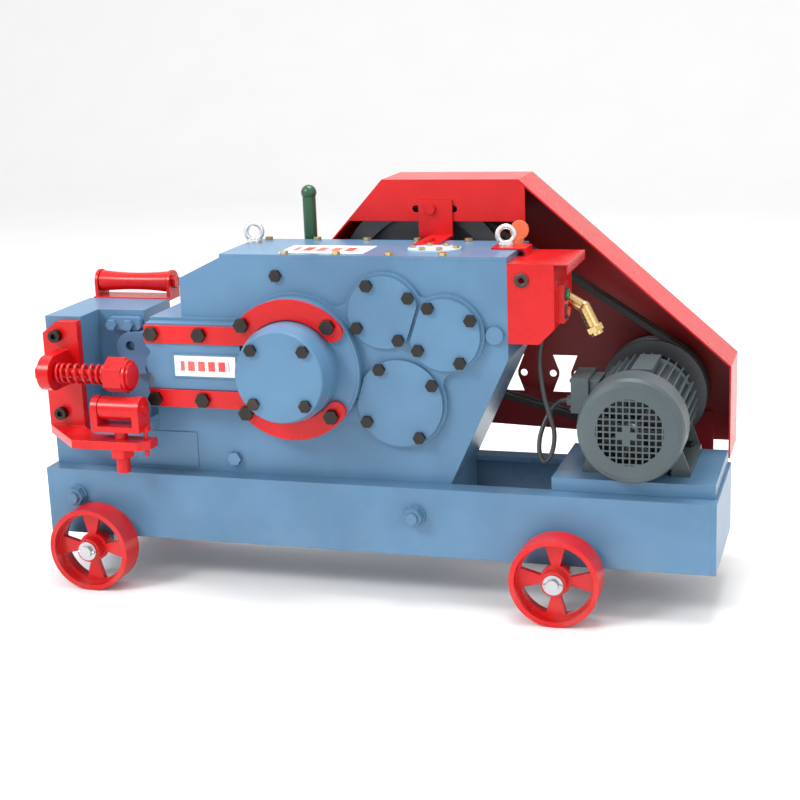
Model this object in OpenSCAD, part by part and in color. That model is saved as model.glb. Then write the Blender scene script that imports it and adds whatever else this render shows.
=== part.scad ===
// Rebar cutter: clutch-type shear on a wheeled channel frame, belt driven from a foot-mounted motor.
// Every node is drawn with X along the frame, Y away from the front rail and Z up from the rails'
// underside, then place() moves it so that the origin is under the middle, on the ground.

/* [Base frame] */
// Length of the base frame
frame_l = 1200; // [1190:5:1500]
// Height of the channel rails
rail_h = 120; // [100:2:150]
// Width of a rail's flanges
rail_flange = 36; // [30:1:50]
// Thickness of a rail's web
rail_web = 6; // [4:1:8]
// Thickness of a rail's flanges
rail_flange_t = 8; // [5:1:10]
// Thickness of the plates that close the frame's ends
end_plate_t = 8; // [5:1:12]

/* [Wheels] */
// Diameter of a wheel
wheel_d = 150; // [120:2:200]
// Width of a wheel's rim
wheel_w = 50; // [36:1:64]
// Diameter of an axle
axle_d = 20; // [16:1:26]
// Distance of the axle's centre line below the rails
axle_drop = 10; // [10:1:30]
// Distance of the front axle from the frame's left end
front_axle_x = 105; // [95:5:150]
// Distance of the rear axle from the frame's right end
rear_axle_inset = 254; // [200:2:300]
// Gap between a rail and a wheel's hub
wheel_gap = 12; // [8:1:20]

/* [Body casting] */
// Wall thickness of the casting
wall_t = 14; // [10:1:18]
// Distance of the crankshaft from the frame's left end
crank_x = 483; // [470:1:520]
// Height of the crankshaft above the rails' underside
crank_z = 317; // [300:1:340]
// Width of the jaw along the frame
jaw_l = 162; // [150:1:170]
// Width of the jaw's front column
jaw_column_l = 71; // [60:1:80]
// Height of the jaw's top above the rails' underside
jaw_top = 394; // [385:1:420]
// Height of the floor of the cutting gap
gap_floor = 194; // [180:1:205]
// Height of the nose that guides the slider
nose_h = 151; // [146:1:160]
// Distance that the nose and ring stand forward of the casting's face
boss_proud = 28; // [20:1:36]
// Height of the raised pad that carries the bearing caps
pad_proud = 8; // [4:1:12]

/* [Gears] */
// Module of the fast pair
fast_m = 3; // [2.5:0.25:3.5]
// Teeth of the flywheel shaft's pinion
fast_pinion_z = 18; // [16:1:20]
// Teeth of the middle shaft's gear
fast_gear_z = 56; // [50:1:60]
// Face width of the fast pair
fast_w = 22; // [16:1:28]
// Module of the middle pair
middle_m = 4; // [3.5:0.25:4.5]
// Teeth of the middle shaft's pinion
middle_pinion_z = 17; // [15:1:19]
// Teeth of the low shaft's gear
middle_gear_z = 55; // [50:1:58]
// Face width of the middle pair
middle_w = 26; // [20:1:32]
// Module of the slow pair
slow_m = 6; // [5:0.25:6.5]
// Teeth of the low shaft's pinion
slow_pinion_z = 15; // [14:1:17]
// Teeth of the clutch gear
slow_gear_z = 50; // [44:1:52]
// Face width of the slow pair
slow_w = 32; // [26:1:40]
// Direction from the crankshaft to the low shaft, in degrees above the horizontal
low_dir = -16.5; // [-20:0.5:-12]
// Direction from the low shaft to the middle shaft
middle_dir = 55.7; // [50:0.1:60]
// Direction from the middle shaft to the flywheel shaft
fly_dir = 161.3; // [158:0.1:165]

/* [Shafts and clutch] */
// Eccentric throw: the slider moves twice this far
throw = 17; // [12:0.5:18]
// Diameter of the crankshaft in its rear bearing
crank_d = 70; // [60:1:76]
// Diameter of the crankshaft's front journal
crank_front_d = 56; // [46:1:60]
// Diameter of the flywheel and middle shafts
shaft_d = 35; // [30:1:40]
// Diameter of the low shaft
low_shaft_d = 48; // [40:1:52]
// Travel of the clutch sleeve
clutch_travel = 12; // [8:1:14]
// Length of the clutch's teeth
dog_l = 10; // [6:1:10]
// Width of the clutch sleeve behind its teeth
sleeve_w = 16; // [14:1:20]
// Running clearance of a shaft in its bore, on the radius
run_gap = 0.05; // [0.02:0.01:0.1]

/* [Slider and blades] */
// Length of the connecting rod between centres
rod_l = 168; // [160:1:175]
// Thickness of the connecting rod
rod_w = 28; // [22:1:30]
// Height of the slider
slider_h = 101; // [96:1:105]
// Sliding clearance around the slider
slide_gap = 0.3; // [0.2:0.05:0.5]
// Opening between the blades at rest
blade_gap = 33; // [30:0.5:34]
// Thickness of a blade
blade_t = 22; // [18:1:24]
// Gap between the two blades' shearing faces
shear_gap = 0.4; // [0.3:0.1:0.8]

/* [Strips and caps] */
// Thickness of the red strips that hold the slider
strip_t = 8; // [6:1:10]
// Height of a strip
strip_h = 31; // [28:1:32]
// Outer radius of the ring that the strips run round
ring_r = 122.5; // [120:0.5:128]
// Radius of the crank housing's barrel
barrel_r = 85.5; // [84:0.5:87]
// Distance the crank housing stands forward of the strips
barrel_l = 54; // [50:1:60]
// Radius of the two upper bearing caps
cap_r = 61; // [58:0.5:62]
// Radius of the low shaft's bearing cap
low_cap_r = 75; // [72:0.5:77]
// Thickness of a bearing cap
cap_t = 8; // [6:1:10]

/* [Drive] */
// Outer radius of the flywheel
fly_r = 162; // [150:1:170]
// Outer radius of the motor pulley
pulley_r = 93; // [80:1:96]
// Width of the flywheel's and the pulley's rims
rim_w = 50; // [46:1:56]
// Number of V belts
belt_count = 2; // [1:1:2]
// Spacing of the belts
belt_pitch = 19; // [17:1:22]
// Gap between the rear rail and the flywheel
fly_gap = 28; // [24:1:40]

/* [Motor] */
// Height of the motor's shaft above its feet
motor_h = 90; // [88:1:100]
// Distance of the motor's shaft from the frame's right end
motor_inset = 140; // [130:1:160]
// Radius of the motor's fan cover
fan_cover_r = 88; // [80:0.5:89]
// Spacing of the foot holes across the shaft
foot_hole_a = 140; // [130:1:150]
// Spacing of the foot holes along the shaft
foot_hole_b = 125; // [100:1:140]
// Height of the motor plate above the rails
plate_rise = 23; // [18:1:30]

/* [Belt guard] */
// Height of the guard's top above the rails' underside
guard_top = 611; // [600:1:660]
// Depth of the guard
guard_w = 118; // [110:1:140]
// Thickness of the guard's sheet
sheet_t = 3; // [2:0.5:4]

/* [Hidden] */

// Resolution of round faces
$fn = 64;
// Small step that lets one solid cut through another
eps = 0.5;

// Shaft centres, each [X, Z], placed by the gears' centre distances
crank = [crank_x, crank_z];
low = crank + slow_m * (slow_pinion_z + slow_gear_z) / 2 * [cos(low_dir), sin(low_dir)];
mid = low + middle_m * (middle_pinion_z + middle_gear_z) / 2 * [cos(middle_dir), sin(middle_dir)];
fly = mid + fast_m * (fast_pinion_z + fast_gear_z) / 2 * [cos(fly_dir), sin(fly_dir)];
// Stub teeth: the tips stand 0.8 of the module above the pitch circle
addendum = 0.8;
slow_tip_r = slow_m * (slow_gear_z / 2 + addendum);
middle_tip_r = middle_m * (middle_gear_z / 2 + addendum);
fast_tip_r = fast_m * (fast_gear_z / 2 + addendum);
gear_gap = 4;

// Places across the frame, from the front rail's web
face_y = rail_flange;
inner_y = face_y + wall_t;
pad_y = face_y - pad_proud;
boss_y = face_y - boss_proud;
strip_y = boss_y - strip_t;
barrel_y = strip_y - barrel_l;
cap_y = pad_y - cap_t;
fast_y = inner_y + 10;
middle_y = fast_y + fast_w + gear_gap;
slow_y = middle_y + middle_w + gear_gap;
dog_y = slow_y + slow_w;
dog_gap = 0.5;
sleeve_y = dog_y + dog_gap + clutch_travel;
back_inner_y = sleeve_y + dog_l + sleeve_w + 8.5;
back_y = back_inner_y + wall_t;
frame_w = back_y + rail_flange;
rod_y = boss_y + 22;

// Body casting
jaw_x = 5;
jaw_x1 = jaw_x + jaw_l;
nose_x = jaw_x1 + 15.5 + blade_gap;
gearbox_x = crank_x - 210;
gearbox_x1 = mid[0] + fast_tip_r + gear_gap + wall_t;
casting_top = crank_z + slow_tip_r + 31.7;
cover_t = 6;
body_top = casting_top + cover_t;
casting_low = rail_flange_t + 4;
slope_dx = 78;
slope_dz = 37;
foot_x1 = low[0] + 82;
shoulder_z = low[1] + 78;
nose_z = [crank_z - nose_h / 2, crank_z + nose_h / 2];
nose_step = 6;
chamber_x = crank_x - slow_tip_r - 18;
window_r = 100;
flange_r = ring_r - 4.5;
flange_t = 12;

// Slider and its drive
crank_body_d = crank_d;
ecc_d = crank_body_d + 2 * throw + 8;
big_end_r = ecc_d / 2 + 15;
pin_d = 30;
small_end_r = 27;
pin_x = crank_x + throw - rod_l;
slider_x = nose_x;
slider_x1 = crank_x - barrel_r - 5;
slider_y = boss_y + slide_gap;
slider_y1 = rod_y + rod_w + 24;
fixed_y = slider_y1 + shear_gap;
fixed_x1 = slider_x - blade_gap;
jaw_back_y = fixed_y + blade_t;
bite_z = [crank_z - 26, crank_z + 24];
bite_r = [13, 9];

// Bearings: outer radius and width for each shaft
shaft_bearing_r = 40;
shaft_bearing_w = 18;
low_bearing_r = 50;
low_bearing_w = 22;
crank_bearing_r = 62;
crank_bearing_w = 26;
front_bearing_r = 50;
front_bearing_w = 30;
front_bearing_y = barrel_y + 16;

// Belt drive and guard
guard_y = frame_w + 3;
fly_y = frame_w + fly_gap;
rim_y1 = fly_y + rim_w;
belt_y = fly_y + rim_w / 2;
motor_x = frame_l - motor_inset;
plate_top = rail_h + plate_rise;
motor_z = plate_top + motor_h;
motor = [motor_x, motor_z];
motor_y = 2;
terminal_x0 = motor_x - 112;
guard_y1 = guard_y + guard_w;
guard_right = frame_l - 3;
guard_left = fly[0] - fly_r - 44;
guard_bottom = rail_h + 6;

// Wheels and the overall box
axle_z = -axle_drop;
ground_z = axle_z - wheel_d / 2;
rear_axle_x = frame_l - rear_axle_inset;
hub_w = wheel_w + 2;
axle_end = 10;
axle_y0 = -(wheel_gap + hub_w + axle_end);
wheel_centre_y = -(wheel_gap + hub_w / 2);

// Colours
blue = [0.36, 0.55, 0.70];
red = [0.88, 0.07, 0.08];
dark_red = [0.40, 0.05, 0.06];
steel = [0.62, 0.63, 0.65];
black = [0.13, 0.12, 0.12];
zinc = [0.80, 0.72, 0.50];
motor_grey = [0.33, 0.37, 0.38];
bronze = [0.70, 0.50, 0.25];
rubber_black = [0.06, 0.06, 0.06];

// Moves a piece drawn in the frame's coordinates to the row's origin
module place() {
    translate([-frame_l / 2, -(axle_y0 + guard_y1) / 2, -ground_z]) children();
}

// ---- helpers -------------------------------------------------------------------------------

// Extrudes an outline in X and Z along Y, from y0 for a length l
module along_y(y0, l) {
    translate([0, y0 + l, 0]) rotate([90, 0, 0]) linear_extrude(l) children();
}

// Extrudes an outline in Y and Z along X, from x0 for a length l
module along_x(x0, l) {
    translate([x0, 0, 0]) rotate([90, 0, 90]) linear_extrude(l) children();
}

// Round bar along Y at a centre c = [X, Z]
module rod_along_y(c, y0, l, r) {
    translate([c[0], y0, c[1]]) rotate([-90, 0, 0]) cylinder(h = l, r = r);
}

// Round bar along X at a centre c = [Y, Z]
module rod_along_x(c, x0, l, r) {
    translate([x0, c[0], c[1]]) rotate([0, 90, 0]) cylinder(h = l, r = r);
}

// Ring along Y
module ring_along_y(c, y0, l, r, hole) {
    difference() {
        rod_along_y(c, y0, l, r);
        rod_along_y(c, y0 - eps, l + 2 * eps, hole);
    }
}

// Solid turned about Y from a profile of [radius, Y] points
module turned(c, profile) {
    translate([c[0], 0, c[1]]) rotate([-90, 0, 0]) rotate_extrude($fn = 96) polygon(profile);
}

// Box from one corner to the opposite one
module box(a, b) {
    translate(a) cube(b - a);
}

// Hexagonal head across flats af, standing along +Z
module hex_head(af, h) {
    cylinder(h = h, r = af / 2 / cos(30), $fn = 6);
}

// Bolt with its head on a face and its shank along -Z
module bolt(af, head_h, d, l) {
    hex_head(af, head_h);
    translate([0, 0, -l]) cylinder(h = l + eps, r = d / 2, $fn = 32);
}

// Bolt whose head stands towards the front, on a face at y0
module front_bolt(c, y0, af, head_h, d, l) {
    translate([c[0], y0, c[1]]) rotate([90, 0, 0]) bolt(af, head_h, d, l);
}

// Clearance hole along Y for a bolt of diameter d
bolt_gap = 0.3;
module bolt_hole(c, y0, l, d) {
    translate([c[0], y0, c[1]]) rotate([-90, 0, 0]) cylinder(h = l, r = d / 2 + bolt_gap, $fn = 32);
}

// Points spaced evenly on a circle about c
function round_points(c, r, n, a0) =
    [for (i = [0:n - 1]) c + r * [cos(a0 + i * 360 / n), sin(a0 + i * 360 / n)]];

// Involute gear: angle from a tooth's middle to its flank at radius r
pressure = 20;
tooth_fit = 0.92;
function inv(a) = tan(a) - a * PI / 180;
function flank_angle(r, m, z) =
    let (base = m * z / 2 * cos(pressure), a = r > base ? acos(base / r) : 0)
    (90 / z * tooth_fit) + (inv(pressure) - inv(a)) * 180 / PI;
function gear_radii(m, z) =
    let (root = m * (z / 2 - 1.1), tip = m * (z / 2 + addendum), base = m * z / 2 * cos(pressure))
    let (first = max(root, base))
    [root, first, first + (tip - first) * 0.5, tip];
function polar(r, a) = [r * cos(a), r * sin(a)];
function gear_points(m, z, phase) =
    let (radii = gear_radii(m, z))
    [for (i = [0:z - 1]) let (a = phase + i * 360 / z) each concat(
        [for (k = [0:3]) polar(radii[k], a - flank_angle(radii[k], m, z))],
        [for (k = [3:-1:0]) polar(radii[k], a + flank_angle(radii[k], m, z))])];
module gear(c, y0, w, m, z, phase) {
    along_y(y0, w) translate(c) polygon(gear_points(m, z, phase));
}

// ---- base frame ----------------------------------------------------------------------------

tie_d = 20;
tie_z = rail_h * 0.6;
// The front pair of nuts clears the wheel's rim
tie_x = front_axle_x - sqrt(pow(wheel_d / 2 + 18.5, 2) - pow(tie_z + axle_drop, 2));
tie_points = [[tie_x, tie_z], [foot_x1 - 56, tie_z]];
stay_x = [guard_left + 60, guard_right - 60];
rail_x1 = frame_l - end_plate_t;

// Channel section in Y and Z, open towards +Y
module channel_profile() {
    difference() {
        square([rail_flange, rail_h]);
        translate([rail_web, rail_flange_t]) square([rail_flange, rail_h - 2 * rail_flange_t]);
    }
}

module front_rail() color(blue) place() {
    difference() {
        along_x(end_plate_t, rail_x1 - end_plate_t) channel_profile();
        for (p = tie_points) bolt_hole(p, -eps, rail_web + 2 * eps, tie_d);
    }
}

module rear_rail() color(blue) place() {
    difference() {
        along_x(end_plate_t, rail_x1 - end_plate_t) translate([frame_w, 0]) mirror([1, 0])
            channel_profile();
        for (p = tie_points) bolt_hole(p, frame_w - rail_web - eps, rail_web + 2 * eps, tie_d);
    }
}

module end_plates() color(blue) place() {
    for (x = [0, rail_x1]) box([x, 0, 0], [x + end_plate_t, frame_w, rail_h]);
}

// Folded tray that carries the motor; slots let the motor slide to tension the belts
plate_t = 6;
plate_x0 = motor_x - 134;
plate_x1 = frame_l - 5;
plate_y0 = rail_flange - 6;
plate_y1 = frame_w - 5;
slot_run = 26;
foot_points = [for (sx = [-1, 1], y = [0, 1])
    [motor_x + sx * foot_hole_a / 2, motor_y + 85 + y * foot_hole_b]];

module motor_base_plate() color(blue) place() {
    difference() {
        box([plate_x0, plate_y0, rail_h], [plate_x1, plate_y1, plate_top]);
        box([plate_x0 + plate_t, plate_y0 + plate_t, rail_h - eps],
            [plate_x1 - plate_t, plate_y1 - plate_t, plate_top - plate_t]);
        for (p = foot_points) translate([p[0], p[1], plate_top - plate_t - eps])
            linear_extrude(plate_t + 2 * eps) obround(slot_run, 11);
    }
}

// Outline of a slot along X, run between its end centres and width d
module obround(run, d) {
    square([run, d], center = true);
    for (s = [-1, 1]) translate([s * run / 2, 0]) circle(d = d, $fn = 32);
}

// ---- wheels and axles ----------------------------------------------------------------------

washer_t = 3;
washer_gap = 0.3;
cotter_r = 2;
lug_l = 32;

module axle(x) {
    c = [x, axle_z];
    difference() {
        union() {
            rod_along_y(c, axle_y0, frame_w - 2 * axle_y0, axle_d / 2);
            for (y = [rail_web, frame_w - rail_flange + 2])
                box([x - lug_l / 2, y, axle_z - axle_d / 2 + 4],
                    [x + lug_l / 2, y + rail_flange - rail_web - 2, 0]);
        }
        for (y = cotter_y()) rod_along_x([y, axle_z], x - axle_d, 2 * axle_d, cotter_r + 0.2);
    }
    for (y = washer_y()) ring_along_y(c, y, washer_t, axle_d * 0.85, axle_d / 2 + 0.2);
    for (y = cotter_y()) rod_along_x([y, axle_z], x - axle_d * 0.8, axle_d * 1.6, cotter_r);
}

// Washers either side of each hub, and the cotter pins outside them
function washer_y() = let (a = wheel_gap - washer_gap - washer_t, b = wheel_gap + hub_w + washer_gap)
    [-a - washer_t, -b - washer_t, frame_w + a, frame_w + b];
function cotter_y() = let (a = wheel_gap + hub_w + washer_gap + washer_t + cotter_r + 0.5)
    [-a, frame_w + a];

module wheel_axles() color(steel) place() {
    axle(front_axle_x);
    axle(rear_axle_x);
}

rim_t = 9;
web_t = 10;
hub_r = axle_d / 2 + 11;
// Cast wheel with four windows in its web
module wheel(x, y) {
    c = [x, axle_z];
    r = wheel_d / 2;
    window_in = hub_r + 5;
    window_out = r - rim_t - 5;
    difference() {
        union() {
            ring_along_y(c, y - wheel_w / 2, wheel_w, r, r - rim_t);
            difference() {
                rod_along_y(c, y - web_t / 2, web_t, r - rim_t + 1);
                along_y(y - web_t, 2 * web_t) translate(c) intersection() {
                    difference() {
                        circle(window_out);
                        circle(window_in);
                    }
                    for (a = [45:90:315]) rotate(a) wedge(window_out + 5, 29);
                }
            }
            rod_along_y(c, y - hub_w / 2, hub_w, hub_r);
        }
        rod_along_y(c, y - hub_w, 2 * hub_w, axle_d / 2 + run_gap);
    }
}

// Triangle with its tip at the origin, a degrees to either side of +X
module wedge(r, a) {
    polygon([[0, 0], [r, -r * tan(a)], [r, r * tan(a)]]);
}

module wheel_front_left() color(red) place() wheel(front_axle_x, wheel_centre_y);
module wheel_front_right() color(red) place() wheel(rear_axle_x, wheel_centre_y);
module wheel_rear_left() color(red) place() wheel(front_axle_x, frame_w - wheel_centre_y);
module wheel_rear_right() color(red) place() wheel(rear_axle_x, frame_w - wheel_centre_y);

// ---- body casting --------------------------------------------------------------------------

cap_points = concat(round_points(fly, cap_r - 8.3, 4, 30), round_points(mid, cap_r - 8.3, 4, 30),
    round_points(low, low_cap_r - 8, 4, 30));
cap_bolt_d = 12;
cap_bolt_l = 22;
strip_bolt_d = 12;
strip_bolt_l = 30;
strip_mid = nose_h / 2 - 3.5 - strip_h / 2;
function strip_points() = [for (s = [-1, 1]) each [
    [slider_x + 15, crank_z + s * (strip_mid + 1)],
    [slider_x + 105, crank_z + s * (strip_mid + 1)],
    crank + 113 * [cos(137), s * sin(137)],
    crank + 106 * [cos(47), s * sin(47)]]];
housing_points = round_points(crank, barrel_r - 20, 4, 45);
face_bolt = [crank_x - 30, body_top - 36];
drain = [crank_x - 125, rail_h + 26];
chamber_floor = rail_h - 18;
throat_r = 40;
nose_top = nose_z[1] + nose_step;
shift = [crank_x - 36, crank_z + 90];
shift_r = 8;
lever_arm = 55;
pivot_z = shift[1] + lever_arm;
pivot_y = back_y + 24.5;
pivot_r = 5;
lug_gap = 17;
lug_t = 8;
lug_r = 12;
crank_boss = crank_bearing_w - wall_t;
cover_bolt_x = [for (i = [0:3]) gearbox_x + slope_dx + 117 + i * 92.7];
cover_back_x = [for (i = [0:4]) gearbox_x + slope_dx + 28 + i * 92.7];
cover_points = concat([for (x = cover_bolt_x) [x, face_y + 8.5]],
    [for (x = cover_back_x) [x, back_y - 9]]);
eye_points = [[gearbox_x + slope_dx + 14, back_y - 44], [gearbox_x1 - 24, face_y + 100]];

// Silhouette from the nose to the gearbox's right wall
module gearbox_outline() {
    polygon([[nose_x, casting_low], [foot_x1, casting_low], [foot_x1, rail_h],
        [gearbox_x1, shoulder_z], [gearbox_x1, casting_top], [gearbox_x + slope_dx, casting_top],
        [gearbox_x, casting_top - slope_dz], [gearbox_x, nose_top], [nose_x, nose_top]]);
}

// Outline of the space for the gears
module chamber_outline() {
    polygon([[chamber_x, chamber_floor], [foot_x1 - wall_t, chamber_floor],
        [foot_x1 - wall_t, rail_h + 3], [gearbox_x1 - wall_t, shoulder_z + 3],
        [gearbox_x1 - wall_t, casting_top + eps], [gearbox_x + slope_dx + 6, casting_top + eps],
        [gearbox_x + wall_t, casting_top - slope_dz + 1], [gearbox_x + wall_t, nose_top + 2],
        [chamber_x, nose_top - wall_t]]);
}

// How far a fillet's arc cuts past the faces that it blends, so that they cross cleanly
bite = 0.4;
// Fillet of radius r in the corner between two circles, on the side given by s
module circle_fillet(a, ra, b, rb, r, s) {
    d = norm(b - a);
    u = (b - a) / d;
    n = s * [-u[1], u[0]];
    along = (pow(ra + r, 2) - pow(rb + r, 2) + d * d) / (2 * d);
    c = a + along * u + sqrt(pow(ra + r, 2) - along * along) * n;
    difference() {
        polygon([a, b, c]);
        translate(c) circle(r + bite);
    }
}

// Raised pad under the nose, the ring and the bearing caps
pad_edge = 6;
plug_c = mid + [83, 0];
plug_r = 15;
module pad_outline() {
    translate([nose_x, nose_z[0] - nose_step])
        square([crank_x - nose_x, nose_h + 2 * nose_step]);
    translate(crank) circle(ring_r + pad_edge);
    for (c = [fly, mid]) translate(c) circle(cap_r + pad_edge);
    translate(low) circle(low_cap_r + pad_edge);
    translate(plug_c) circle(plug_r);
    circle_fillet(crank, ring_r + pad_edge, fly, cap_r + pad_edge, 22, 1);
    circle_fillet(fly, cap_r + pad_edge, mid, cap_r + pad_edge, 16, 1);
    circle_fillet(crank, ring_r + pad_edge, low, low_cap_r + pad_edge, 30, -1);
    circle_fillet(low, low_cap_r + pad_edge, mid, cap_r + pad_edge, 20, -1);
    polygon([crank, fly, mid, low]);
}

module casting_solid() {
    along_y(face_y, back_y - face_y) gearbox_outline();
    box([jaw_x, face_y, casting_low], [nose_x + 1, back_y, gap_floor]);
    box([jaw_x, face_y, gap_floor - 1], [jaw_x + jaw_column_l, jaw_back_y + 1, jaw_top]);
    box([jaw_x, jaw_back_y, gap_floor - 1], [jaw_x1, back_y, jaw_top]);
    along_y(face_y, jaw_back_y - face_y) difference() {
        translate([jaw_x + jaw_column_l - 1, gap_floor - 1]) square(throat_r + 1);
        translate([jaw_x + jaw_column_l + throat_r, gap_floor + throat_r]) circle(throat_r + bite);
    }
    along_y(pad_y, pad_proud + 1) pad_outline();
    along_y(boss_y, boss_proud + 1) {
        translate([nose_x, nose_z[0]]) square([crank_x - nose_x, nose_h]);
        translate(crank) circle(ring_r, $fn = 96);
    }
    box([jaw_x1, face_y - 2, rail_h + 6], [jaw_x1 + 120, face_y + 1, gap_floor - 4]);
    for (p = tie_points) rod_along_y(p, rail_web, frame_w - 2 * rail_web, 22);
    rod_along_y(crank, back_y - 1, crank_boss + 1, crank_bearing_r + 18);
    for (s = [-1, 1]) lever_lug(s);
}

// Lug that holds one end of the lever's pivot
module lever_lug(s) {
    x = shift[0] + s * (lug_gap / 2 + lug_t / 2);
    along_x(x - lug_t / 2, lug_t) difference() {
        union() {
            translate([back_y - 1, pivot_z - lug_r]) square([pivot_y - back_y + 1, 2 * lug_r]);
            translate([pivot_y, pivot_z]) circle(lug_r, $fn = 48);
        }
        translate([pivot_y, pivot_z]) circle(pivot_r + run_gap, $fn = 48);
    }
}

// Boss inside the back wall around a shaft bearing
module inner_boss(c, r, w) {
    rod_along_y(c, back_y - w - 4, w - wall_t + 5, r + 8);
}

module casting_cuts() {
    box([jaw_x - 1, 0, 0], [end_plate_t, frame_w, rail_h]);
    difference() {
        along_y(inner_y, back_inner_y - inner_y) chamber_outline();
        inner_boss(fly, shaft_bearing_r, shaft_bearing_w);
        inner_boss(mid, shaft_bearing_r, shaft_bearing_w);
        inner_boss(low, low_bearing_r, low_bearing_w);
    }
    box([nose_x - eps, boss_y - eps, crank_z - slider_h / 2 - slide_gap],
        [crank_x, slider_y1 + slide_gap, crank_z + slider_h / 2 + slide_gap]);
    rod_along_y(crank, boss_y - eps, flange_t + eps, flange_r + 0.2);
    rod_along_y(crank, boss_y, inner_y - boss_y + eps, window_r);
    for (c = [fly, mid]) rod_along_y(c, pad_y - eps, frame_w, shaft_bearing_r + run_gap);
    rod_along_y(low, pad_y - eps, frame_w, low_bearing_r + run_gap);
    rod_along_y(crank, back_inner_y - eps, frame_w, crank_bearing_r + run_gap);
    rod_along_y(shift, back_inner_y - eps, 2 * wall_t, shift_r + run_gap);
    for (p = tie_points) bolt_hole(p, 0, frame_w, tie_d);
    for (p = cap_points) bolt_hole(p, pad_y - eps, cap_bolt_l - cap_t + eps + 1, cap_bolt_d);
    for (p = strip_points()) bolt_hole(p, boss_y - eps, strip_bolt_l - strip_t + eps + 1, strip_bolt_d);
    bolt_hole(face_bolt, face_y - eps, wall_t + 2 * eps, 12);
    bolt_hole(drain, face_y - eps, wall_t + 2 * eps, 14);
    for (x = [jaw_x + 95, gearbox_x + 120]) box([x, inner_y, casting_low - eps],
        [x + 270, back_inner_y, chamber_floor - wall_t]);
    for (p = bracket_points) bolt_hole(p, face_y - eps, 26, 12);
    for (p = clamp_points) bolt_hole(p, jaw_back_y - eps, 26, 12);
    bolt_hole(blade_hole, jaw_back_y - eps, 22, 10);
    for (p = rear_cap_bolts()) bolt_hole(p, back_y - 10, 40, 8);
    for (p = roller_bolts) bolt_hole(p, back_y - 16, 20, 10);
    for (p = cover_points) translate([p[0], p[1], casting_top - 14])
        cylinder(h = 20, r = 4 + bolt_gap, $fn = 32);
}

module body_casting() color(blue) place() {
    difference() {
        casting_solid();
        casting_cuts();
    }
}

// ---- fasteners -----------------------------------------------------------------------------

// Through bolt along Y with a washer and nut at each end
module tie_bolt(c) {
    stud = 24;
    rod_along_y(c, -stud, frame_w + 2 * stud, tie_d / 2);
    for (y = [-washer_t, frame_w]) ring_along_y(c, y, washer_t, tie_d * 0.95, tie_d / 2 + 0.2);
    for (y = [-washer_t - 15, frame_w + washer_t]) difference() {
        translate([c[0], y, c[1]]) rotate([-90, 0, 0]) hex_head(30, 15);
        rod_along_y(c, y - eps, 16, tie_d / 2 + 0.1);
    }
}

module tie_bolts() color(blue) place() {
    for (p = tie_points) tie_bolt(p);
}

module cover_bolts() color(zinc) place() {
    for (p = cover_points) translate([p[0], p[1], body_top]) bolt(13, 5.5, 8, cover_t + 12);
    for (p = inspection_points()) translate([p[0], p[1], body_top + inspection_t]) bolt(10, 4, 6, 9);
}

module black_bolts() color(black) place() {
    for (p = cap_points) front_bolt(p, cap_y, 19, 7, cap_bolt_d, cap_bolt_l);
    for (p = strip_points()) front_bolt(p, strip_y, 23, 9, strip_bolt_d, strip_bolt_l);
    for (p = housing_points) front_bolt(p, barrel_y, 19, 7, 12, 20);
    front_bolt(face_bolt, face_y, 19, 7, 12, wall_t);
    for (p = bracket_points) translate([p[0], bracket_y, p[1]]) rotate([90, 0, 0]) {
        difference() {
            cylinder(h = 13, r = 11);
            translate([0, 0, 6]) hex_head(10, 8);
        }
        translate([0, 0, -bracket_t - 22]) cylinder(h = bracket_t + 22 + eps, r = 6);
    }
}

// ---- covers, caps and housing --------------------------------------------------------------

inspection_t = 4;
inspection_l = 92;
inspection_w = 62;
inspection_c = [gearbox_x + slope_dx + 365, face_y + 66];
function inspection_points() = concat(
    [for (s = [-1, 1]) inspection_c + [s * (inspection_l / 2 - 8), 0]],
    [for (s = [-1, 1], t = [-1, 1]) inspection_c + [s * 15, t * (inspection_w / 2 - 7)]]);
filler_c = [gearbox_x1 - 14, back_y - 18];
filler_r = 7;

module top_cover() color(blue) place() {
    difference() {
        box([gearbox_x + slope_dx, face_y, casting_top], [gearbox_x1, back_y, body_top]);
        for (p = cover_points) translate([p[0], p[1], casting_top - eps])
            cylinder(h = 2 * cover_t, r = 4 + bolt_gap, $fn = 32);
        for (p = inspection_points()) translate([p[0], p[1], casting_top - eps])
            cylinder(h = 2 * cover_t, r = 3 + bolt_gap, $fn = 32);
        for (p = eye_points) translate([p[0], p[1], casting_top - eps])
            cylinder(h = 2 * cover_t, r = eye_shank_r + bolt_gap, $fn = 32);
        translate([inspection_c[0], inspection_c[1], casting_top - eps])
            linear_extrude(2 * cover_t) obround(inspection_l - inspection_w - 6, inspection_w - 28);
        translate([filler_c[0], filler_c[1], casting_top - eps])
            cylinder(h = 2 * cover_t, r = filler_r + bolt_gap, $fn = 32);
        for (p = guard_foot_points) translate([p[0], p[1], casting_top - eps])
            cylinder(h = 2 * cover_t, r = 4 + bolt_gap, $fn = 32);
    }
}

module inspection_cover() color([0.75, 0.80, 0.84]) place() {
    translate([inspection_c[0], inspection_c[1], body_top]) difference() {
        linear_extrude(inspection_t) obround(inspection_l - inspection_w, inspection_w);
        for (p = inspection_points()) translate([p[0] - inspection_c[0], p[1] - inspection_c[1], -eps])
            cylinder(h = 2 * inspection_t, r = 3 + bolt_gap, $fn = 32);
    }
}

eye_shank_r = 6;
eye_r = 14;
eye_wire = 4.5;
strap_t = 3;
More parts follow.
